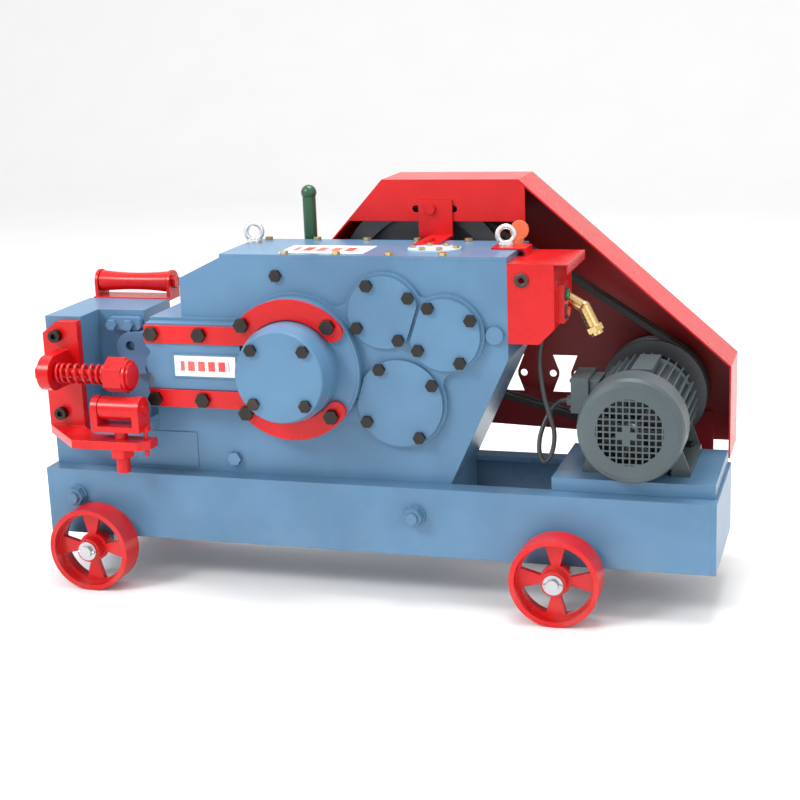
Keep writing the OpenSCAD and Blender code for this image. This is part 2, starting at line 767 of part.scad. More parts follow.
// Lifting eye: a collar, a ring standing up from it and a threaded shank
module eye_bolt(p, z) {
    translate([p[0], p[1], z]) {
        cylinder(h = 5, r = 13);
        translate([0, 0, 5 + eye_r]) rotate([90, 0, 18]) rotate_extrude()
            translate([eye_r, 0]) circle(eye_wire, $fn = 32);
        translate([0, 0, casting_top - z + eps]) cylinder(h = z - casting_top, r = eye_shank_r);
    }
}

module eye_bolts() color([0.86, 0.86, 0.84]) place() {
    eye_bolt(eye_points[0], body_top);
    eye_bolt(eye_points[1], body_top + strap_t);
}

// Filler plug with a round red head, and the hexagonal level plug on the front face
module oil_plugs() color([0.93, 0.42, 0.32]) place() {
    front_bolt(drain, face_y, 22, 9, 14, wall_t);
    translate([filler_c[0], filler_c[1], 0]) {
        translate([0, 0, body_top]) cylinder(h = 9, r = 9);
        translate([0, 0, casting_top + eps]) cylinder(h = cover_t, r = filler_r);
        translate([0, 6, body_top + 22]) rotate([90, 0, 10]) cylinder(h = 12, r = 16);
    }
}

// Profile of one strip in the frame's X and Z, mirrored for the other
module strip_outline(s) {
    translate([0, crank_z]) mirror([0, s < 0 ? 1 : 0]) translate([0, -crank_z]) difference() {
        union() {
            polygon([[slider_x + (s < 0 ? 1 : 0), crank_z + strip_mid - strip_h / 2],
                [crank_x - 70, crank_z + strip_mid - strip_h / 2],
                [crank_x - 70, crank_z + strip_mid + strip_h / 2],
                [slider_x + (s < 0 ? 22 : 0), crank_z + strip_mid + strip_h / 2]]);
            translate(crank) intersection() {
                circle(ring_r, $fn = 96);
                polygon([[0, 0], polar(2 * ring_r, 41), polar(2 * ring_r, 95), polar(2 * ring_r, 148)]);
            }
            translate(crank + polar((ring_r + strip_in_r) / 2, 41)) circle((ring_r - strip_in_r) / 2);
        }
        translate(crank) circle(strip_in_r, $fn = 96);
    }
}

strip_in_r = barrel_r + 2;
module retaining_strips() color(red) place() {
    for (s = [-1, 1]) difference() {
        along_y(strip_y, strip_t) strip_outline(s);
        for (p = strip_points()) bolt_hole(p, strip_y - eps, strip_t + 2 * eps, strip_bolt_d);
    }
}

// Housing of the crankshaft's front bearing, with a flange that the strips hold
module crank_housing() color(blue) place() {
    taper = 7;
    difference() {
        turned(crank, [[0, barrel_y], [barrel_r - taper - 2, barrel_y], [barrel_r - taper, barrel_y + 2],
            [barrel_r, barrel_y + 30], [barrel_r, boss_y], [flange_r, boss_y],
            [flange_r, boss_y + flange_t], [0, boss_y + flange_t]]);
        rod_along_y(crank, front_bearing_y, front_bearing_w + eps, front_bearing_r + run_gap);
        rod_along_y(crank, front_bearing_y + front_bearing_w, 100, front_bearing_r - 6);
        box([crank_x - 2 * ring_r, boss_y - eps, crank_z - slider_h / 2 - 1.5],
            [crank_x - barrel_r + 1, boss_y + flange_t + eps, crank_z + slider_h / 2 + 1.5]);
        for (p = housing_points) bolt_hole(p, barrel_y - eps, 21, 12);
        for (p = strip_points()) bolt_hole(p, boss_y - eps, flange_t + 2 * eps, strip_bolt_d);
    }
}

// Outline of a front bearing cap, cut flat where its neighbour comes close
module cap_outline(c, r, toward, flat) {
    u = (toward - c) / norm(toward - c);
    difference() {
        translate(c) circle(r);
        translate(c) rotate(atan2(u[1], u[0])) translate([flat, -r]) square([r, 2 * r]);
    }
}

rear_caps = [[mid, shaft_bearing_r + 12], [low, low_bearing_r + 12]];
function rear_cap_bolts() = concat(
    [for (k = rear_caps) each round_points(k[0], k[1] - 7, 4, 45)],
    round_points(fly, shaft_bearing_r + 5, 4, 45), round_points(crank, crank_bearing_r + 9, 4, 45));
rear_cap_t = 6;

module bearing_caps() color(blue) place() {
    between = norm(mid - fly) / 2 - 3;
    difference() {
        union() {
            along_y(cap_y, cap_t) cap_outline(fly, cap_r, mid, between);
            along_y(cap_y, cap_t) cap_outline(mid, cap_r, fly, between);
            along_y(cap_y, cap_t) cap_outline(low, low_cap_r, crank, norm(low - crank) - ring_r - 1);
        }
        for (p = cap_points) bolt_hole(p, cap_y - eps, cap_t + 2 * eps, cap_bolt_d);
    }
    for (k = rear_caps) rear_cap(k[0], back_y, k[1], 0);
    rear_cap(fly, back_y, shaft_bearing_r + 12, shaft_d / 2 + 1);
    rear_cap(crank, back_y + crank_boss, crank_bearing_r + 16, 0);
}

// Round cover over a rear bearing, with its four screws' heads
module rear_cap(c, y, r, hole) {
    difference() {
        rod_along_y(c, y, rear_cap_t, r);
        if (hole > 0) rod_along_y(c, y - eps, 2 * rear_cap_t, hole);
        for (p = round_points(c, r - 7, 4, 45)) bolt_hole(p, y - eps, 2 * rear_cap_t, 8);
    }
    for (p = round_points(c, r - 7, 4, 45)) translate([p[0], y + rear_cap_t, p[1]])
        rotate([-90, 0, 0]) bolt(13, 5.5, 8, rear_cap_t + 9);
}

// Ball bearing: outer ring, inner ring and its balls
module bearing(c, y, w, r, shaft_r) {
    race = (r - shaft_r) * 0.27;
    ball_r = (r - shaft_r - 2 * race) / 2 - 0.3;
    mid_r = (r + shaft_r) / 2;
    ring_along_y(c, y, w, r, r - race);
    ring_along_y(c, y, w, shaft_r + run_gap + race, shaft_r + run_gap);
    for (p = round_points(c, mid_r, 9, 0)) translate([p[0], y + w / 2, p[1]]) sphere(ball_r);
}

module shaft_bearings() color(steel) place() {
    for (c = [fly, mid], y = [pad_y, back_y - shaft_bearing_w])
        bearing(c, y, shaft_bearing_w, shaft_bearing_r, shaft_d / 2);
    for (y = [pad_y, back_y - low_bearing_w])
        bearing(low, y, low_bearing_w, low_bearing_r, low_shaft_d / 2);
    bearing(crank, front_bearing_y, front_bearing_w, front_bearing_r, crank_front_d / 2);
    bearing(crank, back_inner_y, crank_bearing_w, crank_bearing_r, crank_d / 2);
}

// ---- jaw: fixed blade, clamp, front bracket, rear roller -----------------------------------

blade_r = 30;
blade_foot = 36;
blade_c = [fixed_x1 - 34, crank_z + 11];
blade_hole = blade_c + [-3, 4];
clamp_points = [[jaw_x + 104, blade_c[1] + blade_r + 11], [jaw_x + 137, blade_c[1] + blade_r + 11]];

module fixed_blade() color([0.33, 0.37, 0.45]) place() {
    difference() {
        along_y(fixed_y, blade_t) difference() {
            union() {
                translate(blade_c) circle(blade_r);
                translate([blade_c[0] - 8, crank_z - blade_foot])
                    square([fixed_x1 - blade_c[0] + 8, blade_c[1] + blade_r - crank_z + blade_foot]);
            }
            for (i = [0, 1]) translate([fixed_x1 + 3, bite_z[i]]) circle(bite_r[i]);
        }
        bolt_hole(blade_hole, fixed_y - eps, blade_t + 2 * eps, 10);
        rod_along_y(blade_hole, fixed_y - eps, blade_t - 6 + eps, 9);
    }
}

clamp_t = 14;
module blade_clamp() color(blue) place() {
    y = jaw_back_y - clamp_t;
    difference() {
        along_y(y, clamp_t) rounded_rect([jaw_x + 94, blade_c[1] + blade_r + 1],
            [jaw_x1 - 3, jaw_top - 11], 8);
        for (p = clamp_points) bolt_hole(p, y - eps, clamp_t + 2 * eps, 12);
    }
    for (p = clamp_points) front_bolt(p, y, 18, 9, 12, clamp_t + 24);
    front_bolt(blade_hole, fixed_y + blade_t - 6, 14, 5, 10, 26);
}

// Rectangle from a to b with corners of radius r
module rounded_rect(a, b, r) {
    translate([a[0] + r, a[1]]) square([b[0] - a[0] - 2 * r, b[1] - a[1]]);
    translate([a[0], a[1] + r]) square([b[0] - a[0], b[1] - a[1] - 2 * r]);
    for (x = [a[0] + r, b[0] - r], y = [a[1] + r, b[1] - r]) translate([x, y]) circle(r, $fn = 32);
}

// Bracket for the press rod and the front roller
bracket_t = 16;
bracket_y = face_y - bracket_t;
bracket_x0 = jaw_x + 1;
bracket_x1 = jaw_x + jaw_column_l - 1;
bracket_top = jaw_top - 6;
shelf_z = gap_floor + 2;
shelf_t = 15;
press = [-30, crank_z - 11];
press_r = 9;
eye_x = bracket_x0 + 27;
eye_l = 22;
eye_out_r = 31;
bracket_points = [[jaw_x + 29, bracket_top - 26], [jaw_x + 28, shelf_z + 24]];
fork_c = [jaw_x + 175, -45];
fork_stem_r = 12;
fork_pin_r = 4;
fork_pin_dx = 47;

module front_bracket() color(red) place() {
    difference() {
        union() {
            along_y(bracket_y, bracket_t) difference() {
                polygon([[bracket_x0, shelf_z - 1], [bracket_x1, shelf_z - 1], [bracket_x1, bracket_top],
                    [bracket_x0 + 30, bracket_top], [bracket_x0, bracket_top - 22]]);
            }
            rod_along_x(press, eye_x, eye_l, eye_out_r);
            box([eye_x, press[0], press[1] - eye_out_r], [eye_x + eye_l, bracket_y + 1,
                press[1] + eye_out_r]);
            translate([0, 0, shelf_z - shelf_t]) linear_extrude(shelf_t) polygon([
                [bracket_x0, face_y], [bracket_x0, bracket_y], [fork_c[0] - 85, fork_c[1] - 24],
                [fork_c[0] + 40, fork_c[1] - 24], [fork_c[0] + 59, fork_c[1] - 8],
                [fork_c[0] + 59, fork_c[1] + 20], [fork_c[0] - 62, fork_c[1] + 20],
                [bracket_x1, bracket_y], [bracket_x1, face_y]]);
        }
        rod_along_x(press, eye_x - eps, eye_l + 2 * eps, press_r + run_gap);
        for (p = bracket_points) bolt_hole(p, bracket_y - eps, bracket_t + 2 * eps, 12);
        translate([fork_c[0], fork_c[1], shelf_z - shelf_t - eps])
            cylinder(h = 2 * shelf_t, r = fork_stem_r + run_gap);
        translate([fork_c[0] + fork_pin_dx, fork_c[1], shelf_z - shelf_t - eps])
            cylinder(h = 2 * shelf_t, r = fork_pin_r + run_gap);
    }
}

// Spring-loaded rod that holds the bar down, with its nut and its large hexagonal head
spring_l = 103;
spring_x = eye_x + eye_l + 0.5;
head_x = spring_x + spring_l + 0.5;
press_travel = 30;
module press_rod() color(red) place() {
    rod_along_x(press, eye_x - 14, head_x - eye_x + 16, press_r);
    translate([eye_x - washer_gap - 12, press[0], press[1]]) rotate([0, 90, 0]) hex_head(27, 12);
    translate([head_x, press[0], press[1]]) rotate([0, 90, 0]) {
        hex_head(56, 34);
        translate([0, 0, 34]) cylinder(h = 6, r = 28);
        translate([0, 0, 40]) cylinder(h = 5, r = 23);
    }
}

// Coil spring round the press rod, with closed ends
coil_r = 15.5;
wire_r = 3;
coil_turns = 8;
coil_steps = 18;
coil_n = coil_turns * coil_steps;
function coil_point(i) = let (a = i * 360 / coil_steps)
    [spring_x + wire_r + (spring_l - 2 * wire_r) * i / coil_n, coil_r * cos(a), coil_r * sin(a)];
function coil_ring(i) = let (a = i * 360 / coil_steps, p = coil_point(i))
    [for (k = [0:7]) p + wire_r * [sin(k * 45), cos(k * 45) * cos(a), cos(k * 45) * sin(a)]];

module press_spring() color(red) place() {
    translate([0, press[0], press[1]]) tube([for (i = [0:coil_n]) coil_ring(i)]);
}

// Closed tube through a list of rings, each a list of points in the same order
module tube(rings) {
    n = len(rings[0]);
    m = len(rings);
    polyhedron([for (ring = rings) each ring], concat(
        [[for (k = [0:n - 1]) k]], [[for (k = [n - 1:-1:0]) (m - 1) * n + k]],
        [for (i = [0:m - 2], k = [0:n - 1])
            [i * n + k, (i + 1) * n + k, (i + 1) * n + (k + 1) % n, i * n + (k + 1) % n]]));
}

// Roller fork with its threaded stem, nut and the pin that stops it turning
roller_r = 20.5;
roller_l = 65;
roller_z = shelf_z + 54.5;
ear_t = 13;
ear_r = 22;
fork_base_z = shelf_z + 16;
fork_travel = 10;
module roller_fork() color(red) place() {
    half = roller_l / 2 + 0.5;
    difference() {
        union() {
            for (s = [-1, 1]) translate([fork_c[0] + s * (half + ear_t / 2), fork_c[1], 0])
                along_x(-ear_t / 2, ear_t) {
                    translate([0, roller_z]) circle(ear_r);
                    translate([-ear_r, fork_base_z]) square([2 * ear_r, roller_z - fork_base_z]);
                }
            box([fork_c[0] - half - 1, fork_c[1] - ear_r, fork_base_z],
                [fork_c[0] + half + 1, fork_c[1] + ear_r, fork_base_z + 10]);
            box([fork_c[0], fork_c[1] - 8, fork_base_z],
                [fork_c[0] + fork_pin_dx + 8, fork_c[1] + 8, fork_base_z + 8]);
        }
        rod_along_x([fork_c[1], roller_z], fork_c[0] - 2 * roller_l, 4 * roller_l, 7 + 0.02);
    }
    rod_along_x([fork_c[1], roller_z], fork_c[0] - half - ear_t - 3, 2 * (half + ear_t) + 6, 7);
    translate([fork_c[0], fork_c[1], 0]) {
        translate([0, 0, shelf_z - shelf_t - 45]) cylinder(h = fork_base_z - shelf_z + shelf_t + 45,
            r = fork_stem_r);
        translate([fork_pin_dx, 0, shelf_z - shelf_t - 14])
            cylinder(h = fork_base_z - shelf_z + shelf_t + 16, r = fork_pin_r);
    }
    fork_nut();
}

// Nut on the stem, low enough for the fork's travel
module fork_nut() {
    translate([fork_c[0], fork_c[1], shelf_z - shelf_t - 0.5 - 16]) difference() {
        hex_head(38, 16);
        translate([0, 0, -eps]) cylinder(h = 17, r = fork_stem_r + 0.1);
    }
}

module front_roller() color(red) place() {
    c = [fork_c[1], roller_z];
    difference() {
        rod_along_x(c, fork_c[0] - roller_l / 2, roller_l, roller_r);
        rod_along_x(c, fork_c[0] - roller_l, 2 * roller_l, 7 + run_gap);
    }
}

// Waisted roller behind the jaw, and the bracket that holds its pin
rear_roller_l = 140;
rear_roller_r = 20;
rear_roller_c = [back_y + 30, jaw_top + 28];
rear_roller_x = jaw_x + 14;
roller_bolts = [for (x = [45, 125]) [jaw_x + x, jaw_top - 34]];
module rear_roller_bracket() color(red) place() {
    x1 = rear_roller_x + rear_roller_l + 1;
    difference() {
        union() {
            box([rear_roller_x - 7, back_y, jaw_top - 60], [x1 + 6, back_y + 6, jaw_top + 2]);
            box([rear_roller_x - 7, back_y, jaw_top - 4], [x1 + 6, back_y + 52, jaw_top + 2]);
            for (x = [rear_roller_x - 7, x1]) along_x(x, 6) {
                translate(rear_roller_c) circle(22);
                translate([rear_roller_c[0] - 22, jaw_top]) square([44, rear_roller_c[1] - jaw_top]);
            }
        }
        rod_along_x(rear_roller_c, 0, jaw_x1 + 40, 7 + 0.02);
        for (p = roller_bolts) bolt_hole(p, back_y - eps, 7, 10);
    }
    rod_along_x(rear_roller_c, rear_roller_x - 12, rear_roller_l + 26, 7);
    translate([x1 + 6.2, rear_roller_c[0], rear_roller_c[1]]) rotate([0, 90, 0]) difference() {
        hex_head(22, 7);
        translate([0, 0, -eps]) cylinder(h = 9, r = 7.1);
    }
    for (p = roller_bolts) translate([p[0], back_y + 6, p[1]]) rotate([-90, 0, 0]) bolt(16, 7, 10, 20);
}

module rear_roller() color(red) place() {
    r = rear_roller_r;
    l = rear_roller_l;
    waist = 4;
    bow = (l * l / 4 + waist * waist) / (2 * waist);
    translate([rear_roller_x + 0.5, rear_roller_c[0], rear_roller_c[1]]) rotate([0, 90, 0])
        rotate_extrude($fn = 96) difference() {
            translate([7 + run_gap, 0]) square([r - 7 - run_gap, l - 1]);
            translate([r - waist + bow, (l - 1) / 2]) circle(bow, $fn = 200);
        }
}

// ---- belt guard ----------------------------------------------------------------------------

function guard_points() = [[guard_left, guard_bottom + 24], [guard_left, fly[1] + 42],
    [guard_left + 140, guard_top], [guard_left + 389, guard_top], [guard_right, motor_z + 57],
    [guard_right, guard_bottom], [guard_right - 90, guard_bottom]];
guard_strip_z = guard_top - 74;
guard_bolt = [gearbox_x + 398, guard_top - 52];
guard_foot_x = [guard_bolt[0] - 3, guard_bolt[0] + 39];
guard_foot_points = [for (y = [back_y - 54, back_y - 31]) [guard_foot_x[0] + 21, y]];
window_c = [[785, motor_z + 6], [885, motor_z + 6]];
stay_t = 4;

// Opening in the guard's back with a narrow waist and a hole on each side of it
module guard_window(c) {
    translate(c) {
        polygon([[-23, -35], [23, -35], [11, -4], [11, 4], [23, 35], [-23, 35], [-11, 4], [-11, -4]]);
        for (s = [-1, 1]) translate([s * 22.5, 0]) circle(6.5, $fn = 32);
    }
}

module guard_back_panel() color(dark_red) place() {
    along_y(guard_y1 - sheet_t, sheet_t) difference() {
        polygon(guard_points());
        for (c = window_c) guard_window(c);
    }
    for (x = stay_x) {
        box([x - 20, guard_y1 - sheet_t - stay_t, rail_h - 30],
            [x + 20, guard_y1 - sheet_t, guard_bottom + 54]);
        box([x - 20, frame_w, rail_h - 30], [x + 20, guard_y1 - sheet_t, rail_h - 30 + stay_t]);
        box([x - 20, frame_w, rail_h - 70], [x + 20, frame_w + stay_t, rail_h - 30 + stay_t]);
    }
}

// Band round the guard's edge, open below, with a strip across the top of its front
module guard_rim() color(red) place() {
    far = 2 * frame_l;
    along_y(guard_y, guard_w - sheet_t) difference() {
        polygon(guard_points());
        offset(delta = -sheet_t) polygon(guard_points());
        translate([guard_left + sheet_t, 0]) square([guard_right - guard_left - 2 * sheet_t,
            guard_bottom + 30]);
    }
    along_y(guard_y, sheet_t) difference() {
        intersection() {
            polygon(guard_points());
            translate([0, guard_strip_z]) square(far);
            square([guard_left + 400, far]);
        }
        translate([guard_bolt[0] + 6, guard_bolt[1]]) obround(70, 12);
    }
}

// Angle bracket from the gearbox's cover to the guard's slotted strip
module guard_bracket() color(red) place() {
    t = 4;
    y1 = guard_y - 0.5;
    difference() {
        union() {
            box([guard_foot_x[0], guard_foot_points[0][1] - 16, body_top],
                [guard_foot_x[1], y1, body_top + t]);
            box([guard_foot_x[0] - 20, y1 - t, body_top], [guard_foot_x[1], y1, guard_bolt[1] + 16]);
        }
        for (p = guard_foot_points) translate([p[0], p[1], body_top - eps])
            cylinder(h = 2 * t, r = 4 + bolt_gap, $fn = 32);
        bolt_hole(guard_bolt, y1 - t - eps, 2 * t, 10);
    }
    for (p = guard_foot_points) translate([p[0], p[1], body_top + t]) bolt(13, 5.5, 8, t + cover_t + 4);
    front_bolt(guard_bolt, y1 - t, 17, 7, 10, 20);
    translate([guard_bolt[0], guard_y + sheet_t, guard_bolt[1]]) rotate([-90, 0, 0]) difference() {
        hex_head(17, 8);
        translate([0, 0, -eps]) cylinder(h = 9, r = 5.1, $fn = 32);
    }
}

// ---- belt drive ----------------------------------------------------------------------------

groove_top = 17;
groove_bottom = 9;
groove_depth = 14;
belt_in = 8;
belt_out = 1.5;
belt_section_w = 11;
function belt_centres() = [for (i = [0:belt_count - 1]) belt_y + (i - (belt_count - 1) / 2) * belt_pitch];

// Grooved pulley: profile of [radius, Y] points
function pulley_profile(r, bore, hub, rim_in, web_half) = concat(
    [[bore, fly_y], [hub, fly_y], [hub, belt_y - web_half], [rim_in, belt_y - web_half],
        [rim_in, fly_y], [r, fly_y]],
    [for (c = belt_centres()) each [[r, c - groove_top / 2], [r - groove_depth, c - groove_bottom / 2],
        [r - groove_depth, c + groove_bottom / 2], [r, c + groove_top / 2]]],
    [[r, rim_y1], [rim_in, rim_y1], [rim_in, belt_y + web_half], [hub, belt_y + web_half],
        [hub, rim_y1], [bore, rim_y1]]);

module flywheel() color([0.28, 0.29, 0.31]) place() {
    turned(fly, pulley_profile(fly_r, shaft_d / 2, 40, fly_r - 34, 9));
}

motor_shaft_d = 24;
module motor_pulley() color([0.28, 0.29, 0.31]) place() {
    turned(motor, pulley_profile(pulley_r, motor_shaft_d / 2, 28, pulley_r - 26, 7));
}

// Outline of a belt at a distance d inside the pulleys' rims
module belt_outline(d) {
    hull() {
        translate(fly) circle(fly_r - d, $fn = 96);
        translate(motor) circle(pulley_r - d, $fn = 96);
    }
}

module v_belts() color(rubber_black) place() {
    for (c = belt_centres()) along_y(c - belt_section_w / 2, belt_section_w) difference() {
        belt_outline(-belt_out);
        belt_outline(belt_in);
    }
}

// ---- switch box, gland and cable -----------------------------------------------------------

switch_x0 = gearbox_x1;
switch_x1 = switch_x0 + 77.5;
switch_z = [rail_h + 246, casting_top - 6.5];
switch_y1 = back_y - 21;
switch_t = 2;
button_y = face_y + 39;
button_z = [switch_z[0] + 49, switch_z[0] + 79];
button_r = 8;
button_travel = 4;
module switch_box() color(red) place() {
    notch = 26;
    difference() {
        along_y(face_y, switch_y1 - face_y) polygon([[switch_x0, switch_z[0]],
            [switch_x1 - notch, switch_z[0]], [switch_x1, switch_z[0] + notch],
            [switch_x1, switch_z[1]], [switch_x0, switch_z[1]]]);
        along_y(face_y + switch_t, switch_y1 - face_y) polygon([
            [switch_x0 + switch_t, switch_z[0] + switch_t],
            [switch_x1 - notch - 1, switch_z[0] + switch_t],
            [switch_x1 - switch_t, switch_z[0] + notch + 1],
            [switch_x1 - switch_t, switch_z[1] - switch_t],
            [switch_x0 + switch_t, switch_z[1] - switch_t]]);
        translate([switch_x0 + 44, button_y + 14, switch_z[0] - eps]) cylinder(h = 4, r = 5.5);
        rod_along_y([switch_x0 + 24, switch_z[1] - 25], face_y - eps, 4, 9);
    }
    ring_along_y([switch_x0 + 24, switch_z[1] - 25], face_y - 3, 6, 12, 5);
    box([switch_x0, face_y, switch_z[1]], [switch_x1 + 23, switch_y1, switch_z[1] + switch_t]);
    box([switch_x1 + 23 - switch_t, face_y, switch_z[1] - 14],
        [switch_x1 + 23, switch_y1, switch_z[1] + switch_t]);
    strap_y = [eye_points[1][1] - 24, eye_points[1][1] + 24];
    difference() {
        box([eye_points[1][0] - 20, strap_y[0], body_top],
            [switch_x0 + 16, strap_y[1], body_top + strap_t]);
        translate([eye_points[1][0], eye_points[1][1], body_top - eps])
            cylinder(h = 2 * strap_t, r = eye_shank_r + bolt_gap, $fn = 32);
    }
    box([switch_x0 + 16 - strap_t, strap_y[0], switch_z[1]],
        [switch_x0 + 16, strap_y[1], body_top + strap_t]);
    difference() {
        box([switch_x1, button_y - 17, button_z[0] - 17], [switch_x1 + 12, button_y + 17,
            button_z[1] + 17]);
        for (z = button_z) rod_along_x([button_y, z], switch_x1 + 1, 12, button_r + 0.3);
    }
}

module button(z) {
    rod_along_x([button_y, z], switch_x1 + 1 + button_travel + 0.5, 12, button_r);
}
module start_button() color([0.10, 0.50, 0.20]) place() button(button_z[1]);
module stop_button() color([0.75, 0.05, 0.05]) place() button(button_z[0]);

// Brass elbow for the supply cable
gland_y = 150;
module cable_gland() color([0.72, 0.55, 0.30]) place() {
    a = [switch_x1, gland_y, switch_z[0] + 58];
    b = a + [28, 0, -16];
    c = b + [23, 0, -46];
    difference() {
        translate(a) rotate([0, 90 + atan2(16, 28), 0]) translate([0, 0, -8])
            cylinder(h = norm(b - a) + 8, r = 10);
        box([switch_x1 - 30, 0, 0], [switch_x1, frame_w, body_top]);
    }
    translate(b) sphere(11);
    translate(b) rotate([0, 90 + atan2(46, 23), 0]) {
        cylinder(h = norm(c - b), r = 11);
        translate([0, 0, norm(c - b) - 16]) rotate([0, 0, 15]) hex_head(27, 10);
    }
}

// Cable from the switch box to the motor's terminal box, through chosen points
cable_r = 4;
cable_ends = [[switch_x0 + 44, button_y + 14, switch_z[0] + 8], [terminal_x0 + 1, 104, motor_z + 24]];
cable_route = [cable_ends[0], cable_ends[0] + [0, 0, -18], [898, 86, motor_z + 112],
    [898, 83, motor_z + 84], [902, 78, motor_z + 58], [909, 71, motor_z + 30], [919, 63, motor_z + 4],
    [926, 58, motor_z - 20], [925, 55, motor_z - 44], [918, 55, motor_z - 64], [907, 59, motor_z - 72],
    [899, 65, motor_z - 58], [898, 74, motor_z - 36], [904, 84, motor_z - 12], [914, 95, motor_z + 9],
    [926, 103, motor_z + 21], cable_ends[1] - [12, 0, 0], cable_ends[1]];
cable_steps = 4;
cable_sides = 10;
function spline(p, t) =
    let (n = len(p) - 1, i = min(floor(t), n - 1), f = t - i)
    let (a = p[max(i - 1, 0)], b = p[i], c = p[i + 1], d = p[min(i + 2, n)])
    0.5 * (2 * b + (c - a) * f + (2 * a - 5 * b + 4 * c - d) * f * f
        + (3 * b - a - 3 * c + d) * f * f * f);
function unit(v) = v / norm(v);
function cable_ring(i) =
    let (t = i / cable_steps, p = spline(cable_route, t))
    let (n = len(cable_route) - 1, q = unit(spline(cable_route, min(t + 0.01, n))
        - spline(cable_route, max(t - 0.01, 0))))
    let (side = unit(cross(q, [0.15, 1, 0.1])), up = cross(side, q))
    [for (k = [0:cable_sides - 1]) let (a = -k * 360 / cable_sides)
        p + cable_r * (cos(a) * side + sin(a) * up)];

module motor_cable() color([0.60, 0.62, 0.62]) place() {
    tube([for (i = [0:cable_steps * (len(cable_route) - 1)]) cable_ring(i)]);
}

// ---- motor ---------------------------------------------------------------------------------

motor_r = 72;
motor_fin_r = 85.5;
motor_in_r = 62;
stator_r = 46;
body_y = [motor_y + 60, motor_y + 213];
fin_n = 36;
module motor_frame() color(motor_grey) place() {
    difference() {
        union() {
            along_y(body_y[0] + 4, body_y[1] - body_y[0] - 8) translate(motor) {
                circle(motor_r, $fn = 96);
                for (i = [0:fin_n - 1]) rotate((i + 0.5) * 360 / fin_n)
                    translate([motor_r - 3, -1.25]) square([motor_fin_r - motor_r + 3, 2.5]);
            }
            rod_along_y(motor, body_y[0], body_y[1] - body_y[0], motor_r + 2);
            for (s = [-1, 1]) motor_foot(s);
            box([motor_x - 10, motor_y + 78, motor_z + motor_r - 4],
                [motor_x + 25, motor_y + 188, motor_z + motor_fin_r + 2]);
            box([terminal_x0 + 30, motor_y + 94, motor_z + 8],
                [motor_x - motor_r + 6, motor_y + 162, motor_z + 60]);
        }
        rod_along_y(motor, body_y[0] - eps, body_y[1], motor_in_r);
        box([terminal_x0, motor_y + 86, motor_z + 3], [terminal_x0 + 30, motor_y + 170, motor_z + 68]);
        for (p = foot_points) translate([p[0], p[1], plate_top - eps])
            cylinder(h = 2 * foot_t, r = 5 + bolt_gap, $fn = 32);
    }
    ring_along_y(motor, body_y[0] + 26, 102, motor_in_r, stator_r);
    for (y = [body_y[0] + 12, body_y[0] + 128]) ring_along_y(motor, y, 14, motor_in_r - 3, stator_r + 3);
}

foot_t = 12;
// One long foot with a sloping web up to the body
module motor_foot(s) {
    y0 = foot_points[0][1] - 17;
    box([motor_x + s * 74 - 16, y0, plate_top], [motor_x + s * 74 + 16, y0 + foot_hole_b + 34,
        plate_top + foot_t]);
    difference() {
        for (y = [y0, y0 + foot_hole_b + 28]) along_y(y, 6) polygon([
            [motor_x + s * 88, plate_top + foot_t - 1], [motor_x + s * 59, plate_top + foot_t - 1],
            [motor_x + s * 45, motor_z - 50], [motor_x + s * 70, motor_z - 30]]);
        rod_along_y(motor, drive_bell_y, 40, motor_r + 2.2);
    }
}

motor_bearing_r = 26;
motor_bearing_w = 15;
fan_bell_y = motor_y + 46;
drive_bell_y = body_y[1];
module motor_end_bells() color(motor_grey) place() {
    difference() {
        union() {
            rod_along_y(motor, fan_bell_y, body_y[0] - fan_bell_y, motor_r + 2);
            rod_along_y(motor, body_y[0] - 1, 6, motor_in_r - 0.2);
        }
        rod_along_y(motor, fan_bell_y + 4, 40, motor_bearing_r + run_gap);
        rod_along_y(motor, fan_bell_y - eps, 40, motor_shaft_d / 2 + 1);
        rod_along_y(motor, body_y[0], 40, motor_in_r - 12);
    }
    difference() {
        union() {
            rod_along_y(motor, drive_bell_y, 16, motor_r + 2);
            rod_along_y(motor, drive_bell_y + 15, 8, 40);
            rod_along_y(motor, drive_bell_y - 5, 6, motor_in_r - 0.2);
        }
        rod_along_y(motor, drive_bell_y - 6, 24, motor_bearing_r + run_gap);
        rod_along_y(motor, drive_bell_y - 6, 60, motor_shaft_d / 2 + 1);
    }
    bearing(motor, fan_bell_y + 4 + 0.2, motor_bearing_w, motor_bearing_r, motor_shaft_d / 2);
    bearing(motor, drive_bell_y + 2, motor_bearing_w, motor_bearing_r, motor_shaft_d / 2);
    for (p = round_points(motor, motor_r - 4, 4, 45)) front_bolt(p, fan_bell_y, 10, 4, 6, 10);
}

// Sheet cover over the fan, with square air holes in its face
grille_pitch = 10.6;
grille_hole = 8;
grille_r = 0.63 * fan_cover_r;
module motor_fan_cover() color(motor_grey) place() {
    r = fan_cover_r;
    t = 2;
    y1 = body_y[0] + 8;
    difference() {
        turned(motor, [[0, motor_y], [r - 12, motor_y], [r - 3.5, motor_y + 3.5], [r, motor_y + 12],
            [r, y1], [r - t, y1], [r - t, motor_y + 12.8], [r - 5, motor_y + 5.2],
            [r - 12.8, motor_y + t], [0, motor_y + t]]);
        along_y(motor_y - eps, t + 1) translate(motor) intersection() {
            circle(grille_r);
            for (i = [-5:6], k = [-5:6]) if (abs(i) + abs(k) > 1)
                translate([(i - 0.5) * grille_pitch, (k - 0.5) * grille_pitch])
                    square(grille_hole, center = true);
        }
    }
}

